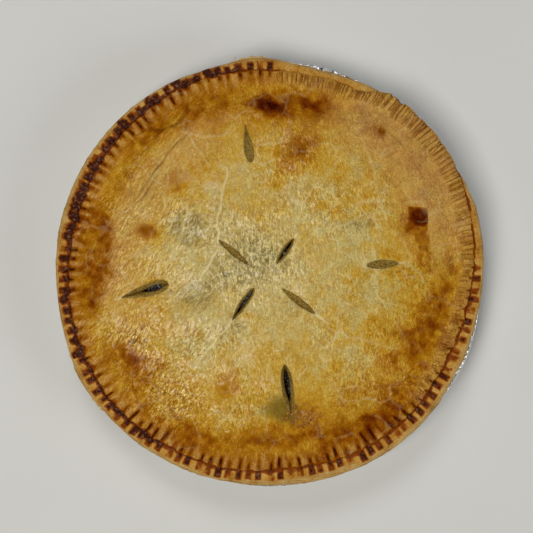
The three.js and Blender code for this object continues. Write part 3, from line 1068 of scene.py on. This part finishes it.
# Browning of the egg glaze: (x, y, half length, half width, angle, how much darker)
BROWNING = [
    (-94, 30, 10, 7, 90, 0.08),
    (-95, -4, 6, 5, 20, 0.12),
    (-100, -17, 7, 5, 90, 0.1),
    (-68, 23, 9, 6, 10, 0.1),
    (-50, 51, 10, 9, 60, 0.06),
    (0, 96, 12, 6, -12, 0.28),
    (25, 95, 7, 4, -10, 0.1),
    (6, 93, 28, 8, -5, 0.12),
    (12, 67, 16, 12, 25, 0.19),
    (0, 52, 6, 5, 0, 0.08),
    (42, 50, 10, 6, -30, 0.1),
    (74, 31, 5, 6, 0, 0.14),
    (57, 82, 9, 5, 20, 0.02),
    (-67, 82, 11, 4, 35, 0.16),
    (93, -12, 14, 8, 70, 0.1),
    (100, -9, 5, 5, 0, 0.15),
    (88, -34, 22, 14, 55, 0.07),
    (82, -42, 9, 8, 0, 0.04),
    (74, -74, 16, 6, 45, 0.16),
    (50, -88, 12, 6, 30, 0.1),
    (60, -84, 12, 6, 30, 0.1),
    (20, -93, 22, 6, 0, 0.16),
    (14, -78, 10, 5, 0, 0.1),
    (-12, -94, 14, 5, 0, 0.1),
    (-28, -66, 9, 10, 70, 0.08),
    (-40, -94, 14, 5, -20, 0.12),
    (-84, -46, 14, 8, -50, 0.13),
    (-70, -55, 11, 6, -35, 0.12),
    (-66, -50, 5, 4, 0, 0.08),
    (-60, -84, 16, 6, -35, 0.06),
    (-90, 62, 14, 5, 50, 0.06),
    (70, -35, 22, 14, 60, 0.07),
    (45, -64, 16, 9, 20, 0.06),
    (0, -87, 24, 6, 0, 0.07),
    (21, -81, 11, 6, 0, 0.08),
    (24, -90, 30, 7, 0, 0.05),
    (64, -66, 22, 9, 45, 0.06),
]
# Stains of the same kind with a clear edge
STAINS = [
    (-101, 10, 32, 15, 90, 0.18),
    (-23.4, -61, 9.5, 7.5, 70, 0.18),
    (-51, 51, 8, 7, 20, 0.14),
    (-70, 23.8, 7.5, 4.6, -5, 0.22),
    (28.6, 36.9, 5, 3.6, 20, 0.16),
    (-10.3, -24.4, 5, 3.2, 0, 0.12),
    (29, -56, 4, 3, 0, 0.12),
    (58, 80.6, 8.5, 5, -20, 0.03),
    (-35, 91, 17, 10, 10, 0.05),
    (13, 66, 13, 9, 20, 0.15),
    (-79, -46, 10, 7, -40, 0.07),
    (84, -36, 13, 9, 60, 0.05),
    (62, -80, 16, 6, 35, 0.08),
    (-2, 95.5, 9, 4, -8, 0.1),
    (22, 95, 8, 3, -25, 0.13),
]
# Places where the dough is paler: mostly dough that stayed paler, but those about (-44, -38), (-78, 26)
# and (-79, 0) on the left and lower left are also painted sheen where the glaze catches the light
PALER_DOUGH_AND_SHEEN = [
    (-44, -38, 20, 16, 60, 0.08),
    (-78, 26, 6, 7, 0, 0.12),
    (-79, 0, 6, 6, 0, 0.12),
    (-92, -27, 10, 8, 40, 0.16),
    (-27, 30, 8, 14, 90, 0.06),
    (52, 60, 9, 16, 100, 0.06),
    (-5, -82, 9, 12, 90, 0.08),
    (90, 20, 6, 16, 0, 0.08),
    (-58, 64, 20, 10, 45, 0.1),
    (-80, 36, 14, 8, 70, 0.08),
    (-84, -6, 8, 10, 0, 0.06),
    (-30, -84, 16, 7, -10, 0.07),
    (-47, 10, 12, 22, 0, 0.06),
    (-42, -22, 14, 10, 0, 0.04),
]
# Places where the glaze dried in fine shining wrinkles, which also get the strongest painted glints and
# painted stroke shading
SHINING = [
    (-79, 28, 10, 8, 60, 1.0),
    (-86, 2, 8, 12, 0, 0.6),
    (-78, -39, 18, 12, -50, 1.0),
    (-62, -60, 16, 12, -40, 0.75),
    (-46, -74, 14, 9, -20, 0.6),
    (-40, -40, 16, 16, 60, 0.7),
    (-8, -72, 12, 10, 0, 0.5),
    (-28, 44, 7, 16, 0, 0.6),
    (15, 64, 14, 10, 20, 0.8),
    (32, 30, 14, 8, 30, 0.6),
    (22, -80, 12, 6, 0, 0.9),
    (28, -44, 14, 10, 20, 0.5),
    (62, 50, 6, 14, 20, 0.6),
    (-10, 10, 24, 18, 30, 0.45),
]
# Places where the dough is thin and the grey-green fruit shows through
THIN = [
    (-46, 25, 10, 15, 60, 1.0),
    (-39, -10, 14, 10, 20, 0.9),
    (-5, 4, 20, 14, 40, 0.9),
    (-20, 24, 9, 12, 20, 0.6),
    (50, 28, 12, 7, 20, 0.8),
    (12, -20, 9, 7, 0, 0.5),
    (20, 44, 10, 6, 30, 0.4),
    (-30, 40, 6, 10, 0, 0.5),
    (2, 80, 10, 5, 20, 0.4),
    (-22, -30, 10, 8, 50, 0.7),
    (-26, 6, 12, 8, 60, 0.6),
    (10, -44, 12, 7, 0, 0.4),
]
# The place below the lower slit that juice has soaked
SOAKED = [(7, -77, 12, 7, -10, 1)]

x, y, _ = points_of(lid)
radius, turn = polar(x, y)
pressed, inset = crimping(radius, turn)
mark = fork_marks(turn)[0]
warp_x = x + 3.0 * unevenness(x, y, 12, 41) + 1.2 * unevenness(x, y, 4, 42)
warp_y = y + 3.0 * unevenness(x, y, 12, 43) + 1.2 * unevenness(x, y, 4, 44)
wander_x, wander_y = wandered(x, y)

# Browning: weaker in the crimped band, and stronger again in its fork marks
bake = np.interp(radius, BAKE_RADII, BAKE_DEPTHS)
bake += patched(warp_x, warp_y, BROWNING, 1.3) - patched(warp_x, warp_y, PALER_DOUGH_AND_SHEEN, 1.3)
bake += patched(0.5 * (warp_x + wander_x), 0.5 * (warp_y + wander_y), STAINS, 4)
bake += 0.06 * unevenness(x, y, 20, 45) + 0.06 * unevenness(x, y, 7, 46)
bake += 0.04 * unevenness(x, y, 2.5, 47)
bake += 0.12 * unevenness(x, y, 3, 57) * ease(0.35, 0.7, bake)
in_band = 1 - ease(5, CRIMP_LENGTH - 2, inset)
forked = 1 - finely_lined(turn)
on_pad = pads(radius, turn) * forked
bake = bake * (1 - 0.5 * in_band) + (0.23 + 0.19 * forked - 0.06 * thick_burn(turn)) * in_band
press = np.clip(pressed, 0, 1)
bake += (0.2 + 0.16 * forked) * press - 0.07 * on_pad

# Dull floury dough towards the rim
dusty_right = 0.55 * stretch_of(turn, *DUSTY_RIGHT) * ease(66, 98, radius)
dusty_left = 0.4 * stretch_of(turn, *DUSTY_LEFT) * ease(66, 82, radius) * (1 - ease(90, 99, radius))
dusty_band = in_band * (0.32 - 0.22 * forked)
dusty = np.max([dusty_right, dusty_left, dusty_band, 0.45 * on_pad], axis=0)
dusty = dusty * (1 - 0.9 * press) * (1 - ease(0.56, 0.7, bake))

# The burnt drop and its run
ragged_x = x + 0.5 * unevenness(x, y, 3, 48)
ragged_y = y + 0.5 * unevenness(x, y, 3, 49)
drop = ease(DROP_LEFT, DROP_LEFT + 2, ragged_x) * ease(DROP_LOW - 0.5, DROP_LOW + 0.6, ragged_y)
drop = drop * (1 - ease(DROP_RIGHT - 0.4, DROP_RIGHT + 0.4, ragged_x))
drop = drop * (1 - ease(DROP_TOP - 0.4, DROP_TOP + 0.4, ragged_y))
core_x, core_y, core_radius = DROP_CORE
core = drop * (1 - ease(0.6, 1.05, np.hypot(ragged_x - core_x, ragged_y - core_y) / core_radius))
away, share = along_path(warp_x, warp_y, DROP_RUN)
blotches = unevenness(x, y, 2.4, 55)
run = (1 - ease(4.4, 6.2, away + 1.5 * blotches)) * (1 - 0.3 * share)
bake = np.maximum(bake, (0.72 + 0.12 * blotches) * run)
bake = np.maximum(bake, 0.7 * drop + 0.23 * core)
dusty = dusty * (1 - np.maximum(drop, run))

# Burnt juice along the edge, and painted contact shade in the line under it
scorch = scorching(x, y)
edge_reach = 0.9 + 0.6 * thick_burn(turn)
line = edge_burn_and_shade(turn) * (1 - ease(0.2, 0.9, (inset + 0.5 * scorch) / edge_reach))
in_mark = 0.34 * press * (1 - ease(0.5, 4, inset)) * crimp_dark[mark] * toothed(turn)
burnt = np.max([burnt_blobs(radius, turn, scorch), line, in_mark], axis=0)

# Pale stretched lines, and painted shade darkening the folds and fork marks
vein = np.zeros(np.shape(x))
for number, (strength, path) in enumerate(VEINS):
    away = along_path(wander_x, wander_y, path)[0]
    broken = strength * (0.9 + 0.55 * unevenness(x, y, 4, 60 + number))
    vein = np.maximum(vein, broken * np.exp(-((away / (0.36 + 0.3 * strength)) ** 2)))
painted_crease_shade = np.zeros(np.shape(x))
for depth, path in FOLDS:
    away, share = along_path(wander_x, wander_y, path)
    broken = np.clip(0.7 + 0.6 * unevenness(x, y, 6, 54), 0.2, 1)
    dark = 0.9 * fold_body(depth, share) * broken
    painted_crease_shade = np.maximum(painted_crease_shade, dark * np.exp(-((away / 0.6) ** 2)))
painted_crease_shade = np.maximum(painted_crease_shade, (0.85 - 0.6 * forked) * press)

# Wet walls of the slits, painted shade deeper in the cuts, and the tears past their tips
wet = np.zeros(np.shape(x))
deep = np.zeros(np.shape(x))
for slit in SLITS:
    along, aside = slit.local(x, y)
    wide = np.maximum(slit.half_width(np.clip(along, -1, 1)), 0.05)
    inside = (np.abs(along) < 1.02) * (1 - ease(0.93, 1.03, np.abs(aside) / wide))
    wet = np.maximum(wet, inside)
    # Painted shade: darker towards the middle of each cut, and strongest in slits with a through slot
    depth = 0.5 if slit.slot <= SHALLOW else 1
    deep = np.maximum(deep, depth * inside * (1 - np.clip(np.abs(aside) / wide, 0, 1)))
    for end, tear in zip((-1, 1), slit.tears):
        if tear:
            tip = slit.spot(end * 0.97, 0)
            away, share = along_path(x, y, [tip, slit.spot(end * (1 + 2 * tear / slit.length), 0)])
            vein = np.maximum(vein, (1 - 0.6 * share) * np.exp(-((away / 0.75) ** 2)))

# Shine of the glaze and the places where it dried in wrinkles; crinkle also sets how strong the painted
# glints and painted stroke shading are
sheen = 1 - 0.45 * ease(-20, 70, x - 0.4 * y) + 0.3 * unevenness(x, y, 17, 51)
sheen = np.clip(sheen, 0.3, 1.1) * (1 - 0.35 * ease(25, 75, y))
blistered = np.clip(patched(wander_x, wander_y, BLISTERS[:4], 2), 0, 1)
sheen = sheen * (1 - 0.75 * ease(0.45, 0.75, bake)) * (1 - 0.5 * dusty) * (1 - 0.8 * wet)
sheen = np.max([sheen, 0.6 * burnt, 0.65 * blistered], axis=0)
shining = np.clip(patched(warp_x, warp_y, SHINING, 1.3), 0, 1)
crinkle = (sheen + 0.3 * ease(0.4, 0.7, bake)) * (1 - 0.8 * blistered)
crinkle = crinkle * (0.56 + 0.1 * ease(10, 60, x) + 0.65 * shining)
near_rim = 1 - ease(8, 20, inset)
sheen = sheen * (1 - 0.8 * near_rim * (1 - burnt)) * (0.7 + 0.3 * np.maximum(shining, burnt))

lid_looks = {
    "bake": bake,
    "burnt": np.clip(burnt, 0, 1),
    "vein": np.clip(vein, 0, 1),
    "painted_crease_shade": painted_crease_shade,
    "wet": wet,
    "deep": deep,
    "flaky": ease(10, 60, x) * 0.75 + 0.25,
    "crinkle": crinkle,
    "sheen": sheen,
    "thin": np.clip(patched(warp_x, warp_y, THIN, 1.6), 0, 1),
    "soak": patched(warp_x, warp_y, SOAKED, 2),
    "slanted": ease(-16, -52, x + 5 * unevenness(x, y, 14, 58)),
    "dusty": dusty,
}
for name, values in lid_looks.items():
    give(lid, name, values)
to_metres(lid)


def crackle(tree, place, size, bend):
    """Thin wandering lines between cells: 1 on a line, 0 away from it."""
    sway = tree.nodes.new("ShaderNodeTexNoise")
    wire(tree, place, sway.inputs["Vector"])
    sway.inputs["Scale"].default_value = 1 / (0.7 * size * MM)
    bent = tree.nodes.new("ShaderNodeVectorMath")
    bent.operation = "MULTIPLY_ADD"
    wire(tree, sway.outputs["Color"], bent.inputs[0])
    bent.inputs[1].default_value = (bend * MM, bend * MM, 0)
    wire(tree, place, bent.inputs[2])
    cells = tree.nodes.new("ShaderNodeTexVoronoi")
    cells.feature = "DISTANCE_TO_EDGE"
    wire(tree, bent.outputs["Vector"], cells.inputs["Vector"])
    cells.inputs["Scale"].default_value = 1 / (size * MM)
    return spread(tree, cells.outputs["Distance"], 0.0, 0.07, 1.0, 0.0)


def curled(tree, place, size, width, twist):
    """Short curling wrinkles: 1 along their tops, 0 between them."""
    wander = mottle(tree, place, size, 1, twist)
    off = reckoned(tree, "ABSOLUTE", reckoned(tree, "SUBTRACT", wander, 0.5))
    return spread(tree, off, 0.0, width, 1.0, 0.0)


def drawn_out(tree, place, angle, ratio):
    """Places squeezed along a direction, so that patterns there come out drawn out along it."""
    node = tree.nodes.new("ShaderNodeMapping")
    node.vector_type = "TEXTURE"
    wire(tree, place, node.inputs["Vector"])
    node.inputs["Rotation"].default_value = (0, 0, math.radians(angle))
    node.inputs["Scale"].default_value = (ratio, 1, 1)
    return node.outputs["Vector"]


def brushed(tree, place, size, twist):
    """Strokes of the glazing brush, upright in the middle and slanted on the left."""
    upright = mottle(tree, drawn_out(tree, place, 96, 2.6), size, 0.5, twist)
    slanted = mottle(tree, drawn_out(tree, place, 56, 3.0), size, 0.5, twist)
    change = reckoned(tree, "SUBTRACT", slanted, upright)
    return reckoned(tree, "MULTIPLY_ADD", change, read(tree, "slanted"), also=upright)


def glazed_lid():
    material, tree, put = finish("glazed_lid_pastry")
    place = at_surface(tree)
    burnt = read(tree, "burnt")
    bake = read(tree, "bake")
    sheen = read(tree, "sheen")
    crinkle = read(tree, "crinkle")
    thin = read(tree, "thin")
    streak = brushed(tree, place, 1.0, 1.0)
    cloud = mottle(tree, place, 8, 3, 0.8)
    grain = mottle(tree, place, 2.6, 0.5)
    fine = mottle(tree, place, 0.8, 1, 0.3)
    crumpled = spread(tree, mottle(tree, place, 13, 2), 0.4, 0.6)
    gathered = spread(tree, mottle(tree, place, 17, 2, 0.5), 0.38, 0.62, 0.65, 1.15)
    patchy = times(tree, crinkle, gathered)
    curls = times(tree, curled(tree, place, 3.6, 0.05, 1.0), read(tree, "flaky"))
    curls = times(tree, curls, crumpled)
    wrinkle = times(tree, curled(tree, place, 5.5, 0.2, 0.8), crumpled)
    wrinkle = times(tree, wrinkle, crinkle)
    flake = spread(tree, mottle(tree, place, 9, 3, 0.3), 0.5, 0.55)
    swing = added(tree, flake, 0.12, 0.0)
    swing = times(tree, swing, read(tree, "flaky"))
    swing = added(tree, cloud, 0.45, swing)
    swing = added(tree, grain, 0.07, swing)
    # Paler along the wrinkles' tops: a painted highlight
    swing = reckoned(tree, "MULTIPLY_ADD", wrinkle, -0.1, also=swing)
    swing = times(tree, swing, spread(tree, bake, 0.6, 0.9, 1.0, 0.3))
    baked = reckoned(tree, "ADD", bake, swing, clamp=True)
    crust = graded(
        tree,
        baked,
        [
            (0.0, tone(205, 184, 116)),
            (0.1, tone(204, 176, 100)),
            (0.2, tone(203, 166, 74)),
            (0.3, tone(200, 155, 50)),
            (0.42, tone(190, 137, 30)),
            (0.55, tone(171, 111, 14)),
            (0.7, tone(144, 80, 5)),
            (0.85, tone(108, 42, 2)),
            (1.0, tone(60, 7, 0)),
        ],
    )
    crust = blend(tree, read(tree, "dusty"), crust, tone(206, 160, 96))
    grey = spread(tree, times(tree, thin, cloud), 0.1, 0.55, 0.0, 0.7)
    crust = blend(tree, grey, crust, tone(154, 138, 84))
    pits = spread(tree, mottle(tree, place, 1.5, 2), 0.56, 0.7)
    speckled = spread(tree, thin, 0.0, 0.8, 0.04, 0.6)
    crust = blend(tree, times(tree, pits, speckled), crust, tone(112, 98, 56))
    scarce = spread(tree, mottle(tree, place, 16, 2), 0.46, 0.62)
    web = times(tree, crackle(tree, place, 13, 8), scarce)
    pale = reckoned(tree, "MAXIMUM", read(tree, "vein"), times(tree, web, 0.4))
    pale = times(tree, pale, spread(tree, bake, 0.12, 0.55, 1.0, 0.3))
    crust = blend(tree, 0.5, crust, fine, "OVERLAY")
    # Painted light and shade of the brush-stroke wrinkles, lighter and darker along the strokes
    brush = times(tree, patchy, 0.48, clamp=True)
    crust = blend(tree, brush, crust, spread(tree, streak, 0.25, 0.75), "OVERLAY")
    # Painted glints: golden highlights drawn along the brush strokes
    painted_glints = times(tree, spread(tree, streak, 0.54, 0.7), patchy)
    painted_glints = times(tree, painted_glints, spread(tree, bake, 0.35, 0.65, 0.6, 0.1), clamp=True)
    crust = blend(tree, painted_glints, crust, tone(246, 224, 148))
    # Painted highlight along the curled wrinkles' tops
    crust = blend(tree, times(tree, curls, 0.3), crust, (1, 1, 1, 1), "OVERLAY")
    crust = blend(tree, pale, crust, tone(238, 221, 166))
    crust = blend(tree, times(tree, read(tree, "soak"), 0.75), crust, tone(104, 88, 30))
    # Painted shade in the folds and fork marks
    crust = blend(tree, times(tree, read(tree, "painted_crease_shade"), 0.85), crust, tone(96, 58, 14))
    crust = scorched(tree, place, crust, burnt)
    wall = blend(tree, spread(tree, fine, 0.35, 0.65), tone(112, 86, 30), tone(162, 136, 70))
    # Painted shade in the cuts, darker towards their middle
    wall = blend(tree, spread(tree, read(tree, "deep"), 0.3, 1.0), wall, tone(86, 62, 16))
    crust = blend(tree, read(tree, "wet"), crust, wall)
    put("Base Color", crust)
    put("Roughness", spread(tree, sheen, 0.2, 1.0, 0.62, 0.27))
    put("Coat Weight", spread(tree, sheen, 0.15, 1.0, 0.0, 0.72))
    put("Specular IOR Level", 0)
    put("Coat Roughness", 0.12)
    normal = raised(tree, times(tree, streak, patchy), 0.4)
    normal = raised(tree, times(tree, grain, crinkle), 0.6, normal)
    normal = raised(tree, wrinkle, 0.5, normal)
    normal = raised(tree, curls, 0.3, normal)
    bubbled = times(tree, mottle(tree, place, 1.6, 0.5), burnt)
    normal = raised(tree, bubbled, 1.0, normal)
    put("Normal", normal)
    put("Coat Normal", normal)
    return material


lid.data.materials.clear()
lid.data.materials.append(glazed_lid())
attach(lid, "root")
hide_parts("top_crust")

# Syrup beads.
# Juice that boiled out of the lower slit and set in small amber drops on the lid beside it.
BEAD_COUNT = 70
BEAD_MIDDLE = (20, -80)
BEAD_SPREAD = (5.5, 3)
BEAD_FLATNESS = 0.65


def lid_surface(x, y):
    """Height of the lid's top inside its crimped band."""
    return lid_top(*polar(x, y)) + dough_relief(x, y)


bead_draw = np.random.default_rng(71)
bead_x = bead_draw.normal(BEAD_MIDDLE[0], BEAD_SPREAD[0], BEAD_COUNT)
bead_y = bead_draw.normal(BEAD_MIDDLE[1], BEAD_SPREAD[1], BEAD_COUNT)
bead_radius = bead_draw.uniform(0.5, 1.1, BEAD_COUNT)
bead_mesh = bmesh.new()
for px, py, pz, size in zip(bead_x, bead_y, lid_surface(bead_x, bead_y), bead_radius):
    seat = Matrix.Translation((px, py, pz)) @ Matrix.Diagonal((1, 1, BEAD_FLATNESS, 1))
    bmesh.ops.create_icosphere(bead_mesh, subdivisions=2, radius=size, matrix=seat)
beads = finished(bead_mesh, "syrup_beads")
to_metres(beads)


def amber_syrup():
    material, tree, put = finish("amber_syrup")
    cloud = mottle(tree, at_surface(tree), 2.5, 2)
    colour = graded(tree, cloud, [(0.35, tone(124, 66, 6)), (0.65, tone(192, 132, 44))])
    put("Base Color", colour)
    put("Roughness", 0.1)
    return material


beads.data.materials.append(amber_syrup())
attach(beads, "root")

# Rim flakes.
# Thin leaves of pastry that lifted off the base's trimmed edge, at the top and the lower left,
# and hang on by one end.
FLAKE_THICKNESS = 0.25
FLAKE_SEAT = RIM_EDGE + 0.9
# Each leaf: (angle on the rim, length, width, lean in degrees, lift of its free end)
FLAKES = [
    (99.5, 5.0, 0.5, 70, 0.9),
    (98.0, 2.5, 1.0, 20, 0.4),
    (97.0, 4.0, 1.6, -15, 0.5),
    (95.6, 4.5, 1.4, 12, 0.6),
    (94.2, 4.0, 1.8, -10, 0.4),
    (92.8, 3.5, 1.2, 15, 0.5),
    (91.5, 2.6, 1.0, -25, 0.3),
    (219.0, 2.6, 1.2, 15, 0.4),
    (217.2, 3.2, 1.4, -12, 0.5),
    (215.6, 2.4, 1.0, 20, 0.4),
]
flake_mesh = bmesh.new()
for degrees, length, width, lean, lift in FLAKES:
    leaf = bmesh.new()
    bmesh.ops.create_grid(leaf, x_segments=8, y_segments=2, size=0.5)
    for vert in leaf.verts:
        along = vert.co.x
        narrowed = 1 - 0.7 * (along + 0.5) ** 2
        curl = lift * (along + 0.5) ** 2
        vert.co = (along * length, vert.co.y * width * narrowed + 0.5 * curl, curl)
    bmesh.ops.solidify(leaf, geom=leaf.faces, thickness=FLAKE_THICKNESS)
    turn = math.radians(degrees)
    edge = float(base_edge(turn))
    stand = Matrix.Translation((edge * math.cos(turn), edge * math.sin(turn), FLAKE_SEAT))
    facing = Matrix.Rotation(turn + math.radians(90 + lean), 4, "Z")
    bmesh.ops.transform(leaf, matrix=stand @ facing, verts=leaf.verts)
    lifted = bpy.data.meshes.new("leaf")
    leaf.to_mesh(lifted)
    leaf.free()
    flake_mesh.from_mesh(lifted)
    bpy.data.meshes.remove(lifted)
bmesh.ops.recalc_face_normals(flake_mesh, faces=flake_mesh.faces)
flakes = finished(flake_mesh, "rim_flakes")
to_metres(flakes)


def dry_flake():
    material, tree, put = finish("dry_flake")
    crumb = mottle(tree, at_surface(tree), 1.2, 3)
    colour = graded(tree, crumb, [(0.35, tone(190, 150, 88)), (0.65, tone(222, 190, 128))])
    put("Base Color", colour)
    put("Roughness", 0.7)
    return material


flakes.data.materials.append(dry_flake())
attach(flakes, "root")

# Floor, light and camera.
# The pie lies on a plain pale top, lit by three soft panels in a dim room, and is seen from
# straight above.
FLOOR_SIZE = 4.0
floor_mesh = bmesh.new()
bmesh.ops.create_grid(floor_mesh, x_segments=2, y_segments=2, size=FLOOR_SIZE / 2)
floor = finished(floor_mesh, "pale_table")


def pale_table():
    material, tree, put = finish("pale_table_top")
    cloud = mottle(tree, at_surface(tree), 90, 3)
    colour = blend(tree, cloud, tone(221, 222, 219), tone(229, 230, 229))
    put("Base Color", colour)
    put("Roughness", 0.8)
    return material


floor.data.materials.append(pale_table())

# Square panels that face the pie: (name, place, size, watts, colour)
PANELS = [
    ("near_panel", (-0.68, -0.47, 2.0), 0.9, 24.5, (1, 0.96, 0.88)),
    ("far_panel", (-0.3, 1.25, 1.75), 0.7, 10, (1, 1, 1)),
    ("side_panel", (1.5, -0.7, 1.1), 0.8, 8, (1, 1, 1)),
]
for name, place, size, watts, colour in PANELS:
    panel = bpy.data.lights.new(name, "AREA")
    panel.shape = "SQUARE"
    panel.size = size
    panel.energy = watts
    panel.color = colour
    holder = bpy.data.objects.new(name, panel)
    holder.location = place
    holder.rotation_euler = (-Vector(place)).to_track_quat("-Z", "Y").to_euler()
    bpy.context.scene.collection.objects.link(holder)


def room():
    """Soft light from all sides, which dims towards the dark ceiling."""
    world = bpy.data.worlds.new("room")
    world.use_nodes = True
    tree = world.node_tree
    upward = tree.nodes.new("ShaderNodeSeparateXYZ")
    wire(tree, tree.nodes.new("ShaderNodeTexCoord").outputs["Generated"], upward.inputs["Vector"])
    ground = tree.nodes["Background"]
    ground.inputs["Color"].default_value = (0.95, 0.97, 1, 1)
    wire(tree, spread(tree, upward.outputs["Z"], 0.05, 0.5, 0.25, 0.0), ground.inputs["Strength"])
    return world


bpy.context.scene.world = room()

VIEW_WIDTH = 0.3033
VIEW_MIDDLE = (-0.00205, 0.0041)
VIEW_DISTANCE = 0.65
SENSOR_WIDTH = 36
camera = bpy.data.cameras.new("view_from_above")
camera.sensor_width = SENSOR_WIDTH
camera.lens = SENSOR_WIDTH * VIEW_DISTANCE / VIEW_WIDTH
viewer = bpy.data.objects.new("view_from_above", camera)
viewer.location = (*VIEW_MIDDLE, RIM_SEAT * MM + VIEW_DISTANCE)
bpy.context.scene.collection.objects.link(viewer)
bpy.context.scene.camera = viewer
bpy.context.scene.view_settings.view_transform = "Standard"
